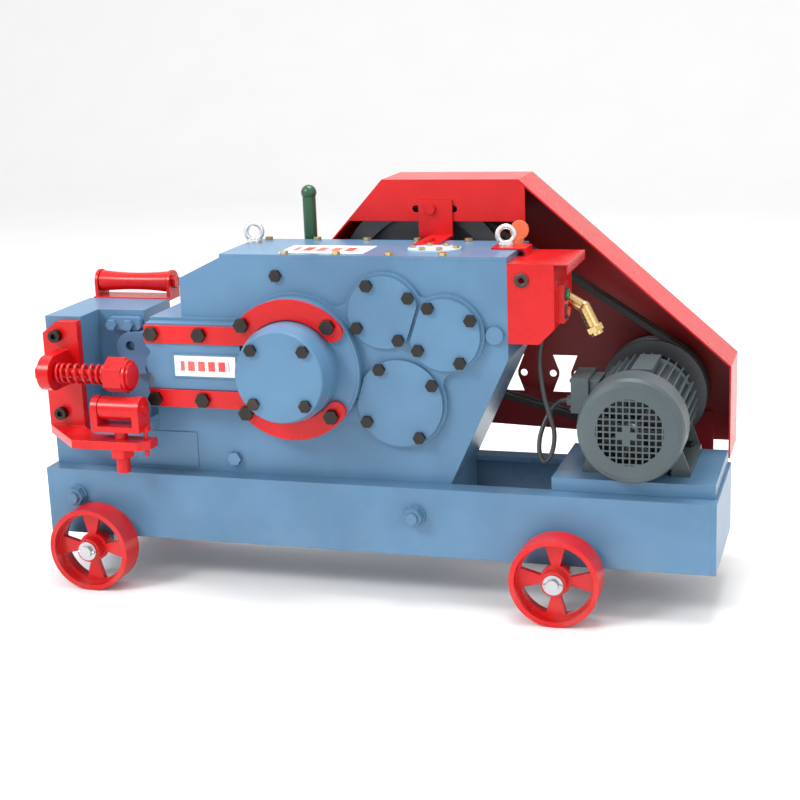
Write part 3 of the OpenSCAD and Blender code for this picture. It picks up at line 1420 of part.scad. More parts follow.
module terminal_box() color(motor_grey) place() {
    z = [motor_z + 5, motor_z + 66];
    y = [motor_y + 88, motor_y + 168];
    difference() {
        box([terminal_x0, y[0], z[0]], [terminal_x0 + 30, y[1], z[1]]);
        box([terminal_x0 + 7, y[0] + 5, z[0] + 5], [terminal_x0 + 26, y[1] - 5, z[1] - 5]);
        rod_along_x([cable_ends[1][1], cable_ends[1][2]], terminal_x0 - 1, 12, cable_r + 1.2);
    }
    difference() {
        translate([terminal_x0 - 8, cable_ends[1][1], cable_ends[1][2]]) rotate([0, 90, 0])
            hex_head(16, 8);
        rod_along_x([cable_ends[1][1], cable_ends[1][2]], terminal_x0 - 9, 12, cable_r + 1.2);
    }
    for (a = [y[0] + 6, y[1] - 6], b = [z[0] + 6, z[1] - 6])
        translate([terminal_x0, a, b]) rotate([0, -90, 0]) cylinder(h = 2.5, r = 3);
}

module motor_bolts() color(black) place() {
    for (p = foot_points) {
        translate([p[0], p[1], plate_top + foot_t]) bolt(16, 7, 10, foot_t + plate_t + 14);
        translate([p[0], p[1], plate_top - plate_t - 8]) difference() {
            hex_head(17, 8);
            translate([0, 0, -eps]) cylinder(h = 9, r = 5.1, $fn = 32);
        }
    }
}

module motor_rotor() color(steel) place() {
    rod_along_y(motor, body_y[0] + 26, 102, stator_r - 0.8);
    rod_along_y(motor, motor_y + 16, rim_y1 - motor_y - 16, motor_shaft_d / 2);
}

module motor_fan() color([0.20, 0.22, 0.22]) place() {
    y = motor_y + 16.5;
    difference() {
        union() {
            rod_along_y(motor, y, 24, 20);
            rod_along_y(motor, y + 20, 4, fan_cover_r - 14);
            for (i = [0:6]) translate([motor_x, 0, motor_z]) rotate([0, i * 360 / 7, 0])
                box([15, y + 1, -2], [fan_cover_r - 17, y + 21, 2]);
        }
        rod_along_y(motor, y - eps, 30, motor_shaft_d / 2 + 0.02);
    }
}

// ---- gear train ----------------------------------------------------------------------------

// Plain disc of a gear, recessed on both sides between hub and rim
module gear_recess(c, y0, w, r0, r1, depth) {
    for (y = [y0 - eps, y0 + w - depth]) ring_along_y(c, y, depth + eps, r1, r0);
}

shaft_end = back_y - 2;
module flywheel_shaft() color(steel) place() {
    rod_along_y(fly, pad_y + 1, rim_y1 + 6 - pad_y, shaft_d / 2);
    gear(fly, fast_y, fast_w, fast_m, fast_pinion_z, fly_dir - 180);
    translate([fly[0], rim_y1 + 0.3, fly[1]]) rotate([-90, 0, 0]) hex_head(46, 14);
}

module middle_shaft() color(steel) place() {
    rod_along_y(mid, pad_y + 1, shaft_end - pad_y, shaft_d / 2);
    difference() {
        gear(mid, fast_y, fast_w, fast_m, fast_gear_z, fly_dir + 180 / fast_gear_z);
        gear_recess(mid, fast_y, fast_w, 32, fast_tip_r - 16, 5);
    }
    gear(mid, middle_y, middle_w, middle_m, middle_pinion_z, middle_dir + 180);
}

module low_shaft() color(steel) place() {
    rod_along_y(low, pad_y + 1, shaft_end - pad_y, low_shaft_d / 2);
    difference() {
        gear(low, middle_y, middle_w, middle_m, middle_gear_z, middle_dir + 180 / middle_gear_z);
        gear_recess(low, middle_y, middle_w, 42, middle_tip_r - 20, 6);
    }
    gear(low, slow_y, slow_w, slow_m, slow_pinion_z, low_dir + 180);
}

dog_in = crank_d / 2 + 7;
dog_out = crank_d / 2 + 23;
// Four teeth standing from a clutch face, turned by a degrees
module dogs(y0, l, a) {
    along_y(y0, l) translate(crank) intersection() {
        difference() {
            circle(dog_out);
            circle(dog_in);
        }
        for (i = [0:3]) rotate(a + i * 90) wedge(2 * dog_out, 15);
    }
}

module clutch_gear() color(steel) place() {
    difference() {
        union() {
            difference() {
                gear(crank, slow_y, slow_w, slow_m, slow_gear_z, low_dir + 180 / slow_gear_z);
                gear_recess(crank, slow_y, slow_w, 66, slow_tip_r - 34, 8);
            }
            dogs(dog_y - 1, dog_l + 1, 0);
        }
        rod_along_y(crank, slow_y - eps, slow_w + 2 * dog_l, crank_d / 2 + run_gap);
    }
}

sleeve_r = 62;
groove_r = 52;
groove_w = 8;
groove_y = sleeve_y + dog_l + (sleeve_w - groove_w) / 2;
key_w = 12;
key_h = 4;
module clutch_sleeve() color(steel) place() {
    difference() {
        union() {
            rod_along_y(crank, sleeve_y + dog_l, sleeve_w, sleeve_r);
            dogs(sleeve_y, dog_l + 1, 45);
        }
        ring_along_y(crank, groove_y, groove_w, sleeve_r + 1, groove_r);
        rod_along_y(crank, sleeve_y - eps, 2 * sleeve_w, crank_d / 2 + run_gap);
        for (s = [-1, 1]) translate([crank_x, 0, crank_z]) rotate([0, 90 + s * 90, 0])
            box([0, sleeve_y - 1, -key_w / 2 - 0.3],
                [crank_d / 2 + key_h + 0.5, sleeve_y + 3 * sleeve_w, key_w / 2 + 0.3]);
    }
}

module eccentric_shaft() color(steel) place() {
    rod_along_y(crank, front_bearing_y + 2, rod_y - front_bearing_y, crank_front_d / 2);
    rod_along_y(crank + [throw, 0], rod_y, rod_w, ecc_d / 2);
    rod_along_y(crank, rod_y + rod_w - 1, back_y + crank_boss - rod_y - rod_w, crank_d / 2);
    for (s = [-1, 1]) translate([crank_x, 0, crank_z]) rotate([0, 90 + s * 90, 0])
        box([crank_d / 2 - 6, dog_y + dog_l + 1.5, -key_w / 2],
            [crank_d / 2 + key_h, back_inner_y - 2, key_w / 2]);
}

// Half ring that rides in the sleeve's groove, on a rod through the back wall
fork_gap = 0.3;
collar_t = 3;
collar_r = 11;
module shift_fork() color(bronze) place() {
    r_in = groove_r + fork_gap;
    r_out = sleeve_r + 12;
    w = groove_w - 2 * fork_gap;
    up = atan2(shift[1] - crank_z, shift[0] - crank_x);
    difference() {
        union() {
            along_y(groove_y + fork_gap, w) difference() {
                union() {
                    translate(crank) circle(r_out);
                    translate(crank) rotate(up) translate([r_in + 4, -12])
                        square([norm(shift - crank) - r_in - 4, 24]);
                    translate(shift) circle(15);
                }
                translate(crank) circle(r_in);
                translate(crank) rotate(up) translate([-2 * r_out - 12, -2 * r_out])
                    square([2 * r_out, 4 * r_out]);
            }
        }
        rod_along_y(shift, groove_y - 1, groove_w + 2, shift_r - 1);
    }
    rod_along_y(shift, groove_y - 6, pivot_y + 12 - groove_y + 6, shift_r);
    for (y = [pivot_y - 7 - collar_t, pivot_y + 7]) rod_along_y(shift, y, collar_t, collar_r);
}

// Hand lever on its pivot, with a slotted eye round the fork's rod
lever_t = 8;
module clutch_lever() color([0.72, 0.73, 0.75]) place() {
    along_y(pivot_y - lever_t / 2, lever_t) difference() {
        union() {
            hull() {
                translate(shift + [0, -2]) circle(16);
                translate(shift + [0, 2]) circle(16);
            }
            translate([shift[0] - 7, shift[1] + 10]) square([14, lever_arm + 14]);
        }
        hull() for (s = [-2, 2]) translate(shift + [0, s]) circle(shift_r + 0.6);
    }
    translate([shift[0], pivot_y, pivot_z + 20]) cylinder(h = lever_top - pivot_z - 20, r = 5.5);
    rod_along_x([pivot_y, pivot_z], shift[0] - lug_gap / 2 - lug_t - 2, lug_gap + 2 * lug_t + 4, pivot_r);
}

lever_top = pivot_z + 128;
module lever_grip() color([0.10, 0.30, 0.16]) place() {
    translate([shift[0], pivot_y, lever_top - 86]) difference() {
        union() {
            cylinder(h = 86, r = 12);
            translate([0, 0, 86]) sphere(14);
        }
        translate([0, 0, -eps]) cylinder(h = 87, r = 5.5 + 0.02);
    }
}

// ---- connecting rod, slider and moving blade -----------------------------------------------

rod_slot_z = [-31, 47];
pin_slot_x = 19.2;
pin_slot_z = [-15.4 - 2, 32.4 + 2];
pin_y = [slider_y + 7.7, slider_y1 - 10];
blade_bolt_y = slider_y1 - blade_t;
module connecting_rod() color([0.45, 0.46, 0.48]) place() {
    big = [crank_x + throw, crank_z];
    small = [pin_x, crank_z];
    difference() {
        along_y(rod_y + 0.3, rod_w - 0.6) {
            translate(big) circle(big_end_r, $fn = 96);
            translate(small) circle(small_end_r);
            polygon([small + [0, -21.5], big + [0, -42], big + [0, 42], small + [0, 21.5]]);
        }
        rod_along_y(big, rod_y - eps, rod_w + 1, ecc_d / 2 + run_gap);
        rod_along_y(small, rod_y - eps, rod_w + 1, pin_d / 2 + 0.02);
    }
    rod_along_y(small, pin_y[0] + 0.5, pin_y[1] - pin_y[0] - 1, pin_d / 2);
}

rib_x = slider_x + 49.5;
rib_z = [crank_z - 19, crank_z + 23];
module slider() color(steel) place() {
    h = slider_h / 2;
    difference() {
        union() {
            box([slider_x, slider_y, crank_z - h], [slider_x1, slider_y1, crank_z + h]);
            box([slider_x, slider_y - 4.3, crank_z - 40.5], [slider_x1, slider_y + 1, crank_z + 40.5]);
            box([rib_x, slider_y - 7.3, rib_z[0]], [slider_x1, slider_y, rib_z[1]]);
        }
        box([pin_x - small_end_r - 5, rod_y - 0.7, crank_z + rod_slot_z[0]],
            [slider_x1 + 1, rod_y + rod_w + 0.7, crank_z + rod_slot_z[1]]);
        box([pin_x - pin_slot_x, pin_y[0], crank_z + pin_slot_z[0]],
            [pin_x + pin_slot_x, pin_y[1], crank_z + pin_slot_z[1]]);
        box([slider_x - 1, slider_y1 - blade_t, crank_z - 36], [slider_x + 35, slider_y1 + 1,
            crank_z + 36]);
        for (i = [0, 1]) rod_along_y([slider_x - 3, bite_z[i]], slider_y - 10, slider_y1, bite_r[i] + 1);
        bolt_hole([slider_x + 22, crank_z], slider_y1 - blade_t - 12, 14, 8);
    }
}

module moving_blade() color([0.33, 0.37, 0.45]) place() {
    difference() {
        box([slider_x, slider_y1 - blade_t, crank_z - 36], [slider_x + 35, slider_y1, crank_z + 36]);
        for (i = [0, 1]) rod_along_y([slider_x - 3, bite_z[i]], 0, 2 * slider_y1, bite_r[i]);
        bolt_hole([slider_x + 22, crank_z], 0, 2 * slider_y1, 8);
        rod_along_y([slider_x + 22, crank_z], slider_y1 - 8, 20, 7);
    }
    rod_along_y([slider_x + 22, crank_z], slider_y1 - blade_t - 11, blade_t + 5, 4);
    rod_along_y([slider_x + 22, crank_z], slider_y1 - 7.7, 7, 6.5);
}

// ---- nodes ---------------------------------------------------------------------------------

front_rail();
rear_rail();
end_plates();
motor_base_plate();
wheel_axles();
body_casting();
tie_bolts();
top_cover();
cover_bolts();
inspection_cover();
eye_bolts();
oil_plugs();
retaining_strips();
crank_housing();
bearing_caps();
black_bolts();
shaft_bearings();
fixed_blade();
blade_clamp();
front_bracket();
rear_roller_bracket();
guard_back_panel();
guard_rim();
guard_bracket();
v_belts();
switch_box();
cable_gland();
motor_frame();
motor_end_bells();
motor_fan_cover();
terminal_box();
motor_bolts();
motor_cable();
flywheel();
flywheel_shaft();
middle_shaft();
low_shaft();
clutch_gear();
eccentric_shaft();
clutch_sleeve();
connecting_rod();
slider();
moving_blade();
motor_rotor();
motor_fan();
motor_pulley();
wheel_front_left();
wheel_front_right();
wheel_rear_left();
wheel_rear_right();
press_rod();
press_spring();
roller_fork();
front_roller();
rear_roller();
clutch_lever();
lever_grip();
shift_fork();
start_button();
stop_button();
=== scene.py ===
"""Looks of the rebar cutter: materials for every part, the cable, spring, threads, welds and labels,
light and camera."""

import math

import bmesh
import bpy
from mathutils import Matrix, Vector


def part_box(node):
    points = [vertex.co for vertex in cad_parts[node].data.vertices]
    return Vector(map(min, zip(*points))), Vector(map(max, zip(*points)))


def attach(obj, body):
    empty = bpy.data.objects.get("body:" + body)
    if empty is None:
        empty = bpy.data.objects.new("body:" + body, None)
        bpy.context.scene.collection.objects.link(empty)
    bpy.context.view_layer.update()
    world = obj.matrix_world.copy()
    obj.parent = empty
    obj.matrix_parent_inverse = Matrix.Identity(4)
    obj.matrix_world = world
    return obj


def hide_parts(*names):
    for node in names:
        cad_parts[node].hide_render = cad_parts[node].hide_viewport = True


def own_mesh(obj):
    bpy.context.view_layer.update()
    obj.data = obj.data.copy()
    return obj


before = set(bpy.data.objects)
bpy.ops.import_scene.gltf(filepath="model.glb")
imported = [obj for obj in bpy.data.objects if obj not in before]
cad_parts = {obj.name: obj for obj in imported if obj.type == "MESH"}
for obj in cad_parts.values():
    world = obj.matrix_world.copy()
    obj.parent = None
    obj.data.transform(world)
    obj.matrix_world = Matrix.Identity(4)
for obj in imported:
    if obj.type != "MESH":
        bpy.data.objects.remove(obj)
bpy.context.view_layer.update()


def low(node):
    """Lowest corner of a part."""
    return Vector(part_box(node)[0])


def high(node):
    """Highest corner of a part."""
    return Vector(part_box(node)[1])


def middle(node):
    """Middle of a part's box."""
    return (low(node) + high(node)) / 2


# ---- node helpers -----------------------------------------------------------------------------


def add(tree, kind, **values):
    """A node with its properties set by name."""
    node = tree.nodes.new(kind)
    for name, value in values.items():
        setattr(node, name, value)
    return node


def wire(tree, a, b):
    tree.links.new(a, b)


def maths(tree, operation, a, b=0.5, clamp=False):
    """A Math node on two sockets or numbers."""
    node = add(tree, "ShaderNodeMath", operation=operation, use_clamp=clamp)
    for socket, value in zip(node.inputs, (a, b)):
        if hasattr(value, "default_value"):
            wire(tree, value, socket)
        else:
            socket.default_value = value
    return node.outputs[0]


def blend_colours(tree, mask, a, b):
    """Colour a where the mask is 0 and b where it is 1."""
    node = add(tree, "ShaderNodeMix", data_type="RGBA")
    for socket, value in zip((node.inputs[0], node.inputs[6], node.inputs[7]), (mask, a, b)):
        if hasattr(value, "default_value"):
            wire(tree, value, socket)
        else:
            socket.default_value = (*value, 1) if len(value) == 3 else value
    return node.outputs[2]


def steps(tree, value, start, end):
    """0 below start, 1 above end, smooth between."""
    node = add(tree, "ShaderNodeMapRange", interpolation_type="SMOOTHSTEP")
    wire(tree, value, node.inputs["Value"])
    node.inputs["From Min"].default_value = start
    node.inputs["From Max"].default_value = end
    return node.outputs[0]


def noise(tree, point, scale, detail=4.0, rough=0.55):
    node = add(tree, "ShaderNodeTexNoise")
    wire(tree, point, node.inputs["Vector"])
    node.inputs["Scale"].default_value = scale
    node.inputs["Detail"].default_value = detail
    node.inputs["Roughness"].default_value = rough
    return node.outputs["Fac"]


def new_group(name, inputs, outputs):
    """A shader node group with named float inputs, and its inner input and output nodes."""
    tree = bpy.data.node_groups.new(name, "ShaderNodeTree")
    for title, default in inputs:
        socket = tree.interface.new_socket(title, in_out="INPUT", socket_type="NodeSocketFloat")
        socket.default_value = default
    for title, kind in outputs:
        tree.interface.new_socket(title, in_out="OUTPUT", socket_type=kind)
    return tree, add(tree, "NodeGroupInput"), add(tree, "NodeGroupOutput")


def use_group(tree, group, **values):
    """The group as a node, with its inputs set."""
    node = add(tree, "ShaderNodeGroup", node_tree=group)
    for name, value in values.items():
        node.inputs[name.replace("_", " ")].default_value = value
    return node


# ---- shared effects -----------------------------------------------------------------------------


def edge_wear_group():
    """Mask along sharp edges, broken up by noise: where paint rubs off and bare metal shines."""
    tree, given, out = new_group("edge wear", [("Width", 0.0012), ("Amount", 0.5), ("Breakup", 90)],
                                 [("Mask", "NodeSocketFloat")])
    place = add(tree, "ShaderNodeTexCoord").outputs["Object"]
    plain = add(tree, "ShaderNodeNewGeometry").outputs["Normal"]
    rounded = add(tree, "ShaderNodeBevel", samples=6)
    wire(tree, given.outputs["Width"], rounded.inputs["Radius"])
    dot = add(tree, "ShaderNodeVectorMath", operation="DOT_PRODUCT")
    wire(tree, plain, dot.inputs[0])
    wire(tree, rounded.outputs[0], dot.inputs[1])
    edge = steps(tree, maths(tree, "SUBTRACT", 1.0, dot.outputs["Value"]), 0.02, 0.22)
    grain = add(tree, "ShaderNodeTexNoise")
    wire(tree, place, grain.inputs["Vector"])
    wire(tree, given.outputs["Breakup"], grain.inputs["Scale"])
    grain.inputs["Detail"].default_value = 5
    broken = steps(tree, maths(tree, "ADD", grain.outputs["Fac"], maths(
        tree, "SUBTRACT", given.outputs["Amount"], 0.5)), 0.52, 0.64)
    wire(tree, maths(tree, "MULTIPLY", edge, broken), out.inputs[0])
    return tree


def dust_group():
    """Mask for dust: more on faces that look up and lower down, in soft patches."""
    tree, given, out = new_group("settled dust", [("Amount", 0.3)], [("Mask", "NodeSocketFloat")])
    place = add(tree, "ShaderNodeTexCoord").outputs["Object"]
    normal = add(tree, "ShaderNodeSeparateXYZ")
    wire(tree, add(tree, "ShaderNodeNewGeometry").outputs["Normal"], normal.inputs[0])
    where = add(tree, "ShaderNodeSeparateXYZ")
    wire(tree, place, where.inputs[0])
    upward = steps(tree, normal.outputs["Z"], 0.3, 1.0)
    low_down = maths(tree, "SUBTRACT", 1.0, steps(tree, where.outputs["Z"], 0.0, 0.22))
    patches = steps(tree, noise(tree, place, 14), 0.38, 0.7)
    mask = maths(tree, "MULTIPLY", maths(tree, "ADD", maths(tree, "MULTIPLY", upward, 0.6),
                                         maths(tree, "MULTIPLY", low_down, 0.8)), patches, clamp=True)
    wire(tree, maths(tree, "MULTIPLY", mask, given.outputs["Amount"]), out.inputs[0])
    return tree


def casting_grain_group():
    """Height of a sand-cast or sprayed surface: broad waves with fine orange peel over them."""
    tree, given, out = new_group("casting grain", [("Waves", 1.0), ("Peel", 0.3)],
                                 [("Height", "NodeSocketFloat"), ("Tone", "NodeSocketFloat")])
    place = add(tree, "ShaderNodeTexCoord").outputs["Object"]
    waves = noise(tree, place, 22, 3)
    peel = noise(tree, place, 420, 2)
    wire(tree, maths(tree, "ADD", maths(tree, "MULTIPLY", waves, given.outputs["Waves"]),
                     maths(tree, "MULTIPLY", peel, given.outputs["Peel"])), out.inputs[0])
    wire(tree, noise(tree, place, 5, 4), out.inputs[1])
    return tree


def brushed_group():
    """Fine scratches left by turning or grinding, stretched along one direction."""
    tree, given, out = new_group("machining marks", [("Along X", 8), ("Along Y", 260), ("Along Z", 260)],
                                 [("Marks", "NodeSocketFloat")])
    place = add(tree, "ShaderNodeTexCoord").outputs["Object"]
    stretch = add(tree, "ShaderNodeCombineXYZ")
    for k in range(3):
        wire(tree, given.outputs[k], stretch.inputs[k])
    scaled = add(tree, "ShaderNodeVectorMath", operation="MULTIPLY")
    wire(tree, place, scaled.inputs[0])
    wire(tree, stretch.outputs[0], scaled.inputs[1])
    wire(tree, noise(tree, scaled.outputs[0], 4, 3), out.inputs[0])
    return tree


EDGE_WEAR = edge_wear_group()
DUST = dust_group()
GRAIN = casting_grain_group()
MARKS = brushed_group()


def new_material(name):
    material = bpy.data.materials.new(name)
    material.use_nodes = True
    tree = material.node_tree
    return material, tree, tree.nodes["Principled BSDF"]


def rounded_normal(tree, shader, height, radius, depth, strength):
    """Bump over edges that are shaded as if rounded."""
    bevel = add(tree, "ShaderNodeBevel", samples=6)
    bevel.inputs["Radius"].default_value = radius
    bump = add(tree, "ShaderNodeBump")
    bump.inputs["Distance"].default_value = depth
    bump.inputs["Strength"].default_value = strength
    wire(tree, height, bump.inputs["Height"])
    wire(tree, bevel.outputs[0], bump.inputs["Normal"])
    wire(tree, bump.outputs[0], shader.inputs["Normal"])


# ---- materials ----------------------------------------------------------------------------------


def paint(name, colour, under, rough=0.35, wear=0.42, dust=0.08, waves=1.0, edge=0.0016):
    """Sprayed enamel over metal: tone variation, chipped edges, a little dust, clear coat gloss."""
    material, tree, shader = new_material(name)
    grain = use_group(tree, GRAIN, Waves=waves, Peel=0.25)
    chips = use_group(tree, EDGE_WEAR, Width=edge, Amount=wear, Breakup=110)
    dirt = use_group(tree, DUST, Amount=dust)
    dark = [c * 0.86 for c in colour]
    light = [min(1, c * 1.08 + 0.004) for c in colour]
    base = blend_colours(tree, steps(tree, grain.outputs["Tone"], 0.3, 0.7), dark, light)
    worn = blend_colours(tree, chips.outputs["Mask"], base, under)
    dusty = blend_colours(tree, dirt.outputs["Mask"], worn, (0.42, 0.38, 0.33))
    wire(tree, dusty, shader.inputs["Base Color"])
    gloss = maths(tree, "ADD", maths(tree, "MULTIPLY", grain.outputs["Tone"], 0.16), rough - 0.08)
    gloss = maths(tree, "ADD", gloss, maths(tree, "MULTIPLY", dirt.outputs["Mask"], 0.5), clamp=True)
    wire(tree, gloss, shader.inputs["Roughness"])
    wire(tree, maths(tree, "MULTIPLY", chips.outputs["Mask"], 0.7), shader.inputs["Metallic"])
    shader.inputs["Specular IOR Level"].default_value = 0.3
    shader.inputs["Coat Weight"].default_value = 0.12
    shader.inputs["Coat Roughness"].default_value = 0.2
    rounded_normal(tree, shader, grain.outputs["Height"], edge, 0.0006, 0.35)
    return material


def bare_metal(name, colour, rough=0.3, marks=(8, 260, 260), stain=(0.20, 0.15, 0.11), amount=0.25):
    """Turned or ground steel with machining marks and a few oil or rust stains."""
    material, tree, shader = new_material(name)
    lines = use_group(tree, MARKS, Along_X=marks[0], Along_Y=marks[1], Along_Z=marks[2])
    grain = use_group(tree, GRAIN, Waves=0.3, Peel=0.2)
    chips = use_group(tree, EDGE_WEAR, Width=0.0008, Amount=0.6, Breakup=160)
    tone = blend_colours(tree, lines.outputs["Marks"], [c * 0.8 for c in colour],
                         [min(1, c * 1.12) for c in colour])
    spots = maths(tree, "MULTIPLY", steps(tree, grain.outputs["Tone"], 0.56, 0.74), amount)
    tone = blend_colours(tree, spots, tone, stain)
    tone = blend_colours(tree, maths(tree, "MULTIPLY", chips.outputs["Mask"], 0.5), tone,
                         [min(1, c * 1.35 + 0.05) for c in colour])
    wire(tree, tone, shader.inputs["Base Color"])
    shader.inputs["Metallic"].default_value = 1.0
    gloss = maths(tree, "ADD", maths(tree, "MULTIPLY", lines.outputs["Marks"], 0.22), rough - 0.1)
    wire(tree, maths(tree, "ADD", gloss, maths(tree, "MULTIPLY", spots, 0.6), clamp=True),
         shader.inputs["Roughness"])
    rounded_normal(tree, shader, lines.outputs["Marks"], 0.0008, 0.0002, 0.3)
    return material


def plastic(name, colour, rough=0.4, wear=0.35, peel=0.6):
    """Moulded plastic or rubber with a fine texture and scuffed edges."""
    material, tree, shader = new_material(name)
    grain = use_group(tree, GRAIN, Waves=0.2, Peel=peel)
    chips = use_group(tree, EDGE_WEAR, Width=0.0010, Amount=wear, Breakup=140)
    dirt = use_group(tree, DUST, Amount=0.25)
    tone = blend_colours(tree, steps(tree, grain.outputs["Tone"], 0.3, 0.7),
                         [c * 0.85 for c in colour], [min(1, c * 1.12 + 0.004) for c in colour])
    tone = blend_colours(tree, chips.outputs["Mask"], tone, [min(1, c * 1.4 + 0.06) for c in colour])
    tone = blend_colours(tree, dirt.outputs["Mask"], tone, (0.36, 0.33, 0.29))
    wire(tree, tone, shader.inputs["Base Color"])
    wire(tree, maths(tree, "ADD", maths(tree, "MULTIPLY", grain.outputs["Tone"], 0.15), rough - 0.07),
         shader.inputs["Roughness"])
    rounded_normal(tree, shader, grain.outputs["Height"], 0.001, 0.0003, 0.4)
    return material


def label(name, centre, size, red=(0.72, 0.03, 0.03)):
    """White enamel plate with a row of blank red blocks."""
    material, tree, shader = new_material(name)
    place = add(tree, "ShaderNodeTexCoord").outputs["Object"]
    local = add(tree, "ShaderNodeMapping", vector_type="POINT")
    local.inputs["Location"].default_value = [-c / s for c, s in zip(centre, size)]
    local.inputs["Scale"].default_value = [1 / s for s in size]
    wire(tree, place, local.inputs["Vector"])
    part = add(tree, "ShaderNodeSeparateXYZ")
    wire(tree, local.outputs[0], part.inputs[0])
    across = maths(tree, "ABSOLUTE", part.outputs[0])
    up = maths(tree, "ABSOLUTE", part.outputs[1])
    band = maths(tree, "MULTIPLY", maths(tree, "LESS_THAN", up, 0.24), maths(
        tree, "LESS_THAN", across, 0.40))
    stripes = maths(tree, "GREATER_THAN", maths(tree, "FRACT", maths(
        tree, "MULTIPLY", part.outputs[0], 6.0)), 0.32)
    blocks = maths(tree, "MULTIPLY", band, stripes)
    grain = use_group(tree, GRAIN, Waves=0.3, Peel=0.2)
    dirt = use_group(tree, DUST, Amount=0.2)
    tone = blend_colours(tree, blocks, (0.80, 0.81, 0.80), red)
    faded = maths(tree, "MULTIPLY", steps(tree, grain.outputs["Tone"], 0.4, 0.8), 0.25)
    tone = blend_colours(tree, faded, tone, (0.62, 0.60, 0.56))
    tone = blend_colours(tree, dirt.outputs["Mask"], tone, (0.42, 0.38, 0.33))
    wire(tree, tone, shader.inputs["Base Color"])
    wire(tree, maths(tree, "ADD", maths(tree, "MULTIPLY", grain.outputs["Tone"], 0.2), 0.25),
         shader.inputs["Roughness"])
    rounded_normal(tree, shader, grain.outputs["Height"], 0.0008, 0.0002, 0.3)
    return material


def colour_below(material, height, colour):
    """What lies under a height takes another colour."""
    tree = material.node_tree
    shader = tree.nodes["Principled BSDF"]
    part = add(tree, "ShaderNodeSeparateXYZ")
    wire(tree, add(tree, "ShaderNodeTexCoord").outputs["Object"], part.inputs[0])
    under = maths(tree, "LESS_THAN", part.outputs["Z"], height)
    base = shader.inputs["Base Color"].links[0].from_socket
    wire(tree, blend_colours(tree, under, base, colour), shader.inputs["Base Color"])


BLUE = (0.085, 0.190, 0.315)
RED = (0.560, 0.002, 0.004)
PRIMER = (0.30, 0.28, 0.26)
IRON = (0.34, 0.34, 0.35)

blue = paint("blue enamel", BLUE, PRIMER, rough=0.34)
blue_sheet = paint("blue enamel on sheet", BLUE, PRIMER, rough=0.30, waves=0.4)
blue_blade = paint("blue enamel on the blade", (0.070, 0.150, 0.270), (0.30, 0.32, 0.36), rough=0.30,
                   wear=0.6)
pale_blue = paint("pale blue enamel", (0.42, 0.52, 0.60), PRIMER, rough=0.35)
red = paint("red enamel", RED, IRON, rough=0.28, wear=0.36, waves=0.5)
red_wheel = paint("red enamel on wheels", RED, IRON, rough=0.34, wear=0.44, dust=0.12)
# Guard back panel: the red enamel is painted much darker, as painted shade for the shadow the guard
# casts on it.
red_with_painted_shade = paint("red enamel with painted shade", (0.210, 0.003, 0.005), IRON, rough=0.42, dust=0.02)
grey_paint = paint("motor enamel", (0.066, 0.090, 0.098), (0.34, 0.35, 0.36), rough=0.38, wear=0.4)
orange = plastic("orange cap", (0.80, 0.16, 0.06), rough=0.3)
colour_below(orange, 0.45, BLUE)
steel = bare_metal("machined steel", (0.52, 0.53, 0.55), rough=0.28)
turned_steel = bare_metal("turned steel", (0.50, 0.50, 0.52), rough=0.30, marks=(180, 8, 180))
ground_steel = bare_metal("ground blade steel", (0.20, 0.23, 0.28), rough=0.26)
black_oxide = bare_metal("black oxide", (0.045, 0.042, 0.040), rough=0.42, amount=0.5)
yellow_zinc = bare_metal("yellow zinc", (0.62, 0.47, 0.22), rough=0.30, marks=(60, 60, 60))
white_zinc = bare_metal("white zinc", (0.74, 0.74, 0.72), rough=0.34, marks=(60, 60, 60), amount=0.12)
cast_iron = bare_metal("turned cast iron", (0.13, 0.135, 0.145), rough=0.46, marks=(120, 10, 120))
brass = bare_metal("brass", (0.66, 0.46, 0.20), rough=0.26, marks=(60, 60, 60), amount=0.15)
bronze = bare_metal("cast bronze", (0.50, 0.30, 0.12), rough=0.40, marks=(50, 50, 50))
rubber = plastic("belt rubber", (0.018, 0.018, 0.018), rough=0.7, wear=0.2, peel=1.0)
black_plastic = plastic("black plastic", (0.022, 0.023, 0.024), rough=0.45)
sheath = plastic("cable sheath", (0.030, 0.031, 0.033), rough=0.36, wear=0.1)
grip_green = plastic("green grip", (0.012, 0.070, 0.030), rough=0.28, wear=0.25)
button_green = plastic("green button", (0.010, 0.230, 0.050), rough=0.25, wear=0.2)
button_red = plastic("red button", (0.550, 0.010, 0.010), rough=0.25, wear=0.2)

FINISH = {
    blue: ["body_casting", "crank_housing", "bearing_caps", "blade_clamp", "tie_bolts", "slider"],
    blue_sheet: ["front_rail", "rear_rail", "end_plates", "motor_base_plate", "top_cover"],
    pale_blue: ["inspection_cover"],
    red: ["retaining_strips", "front_bracket", "rear_roller_bracket", "guard_rim", "guard_bracket",
          "switch_box", "press_rod", "roller_fork", "front_roller", "rear_roller", "press_spring"],
    red_wheel: ["wheel_front_left", "wheel_front_right", "wheel_rear_left", "wheel_rear_right"],
    orange: ["oil_plugs"],
    # Back panel: red darkened by painted shade.
    red_with_painted_shade: ["guard_back_panel"],
    steel: ["clutch_lever"],
    turned_steel: ["wheel_axles", "shaft_bearings", "flywheel_shaft", "middle_shaft", "low_shaft",
                   "clutch_gear", "eccentric_shaft", "clutch_sleeve", "motor_rotor"],
    ground_steel: ["moving_blade", "connecting_rod"],
    blue_blade: ["fixed_blade"],
    black_oxide: ["black_bolts", "motor_bolts"],
    yellow_zinc: ["cover_bolts"],
    white_zinc: ["eye_bolts"],
    cast_iron: ["flywheel", "motor_pulley"],
    grey_paint: ["motor_frame", "motor_end_bells", "motor_fan_cover", "terminal_box"],
    black_plastic: ["motor_fan"],
    brass: ["cable_gland"],
    bronze: ["shift_fork"],
    rubber: ["v_belts"],
    sheath: ["motor_cable"],
    grip_green: ["lever_grip"],
    button_green: ["start_button"],
    button_red: ["stop_button"],
}


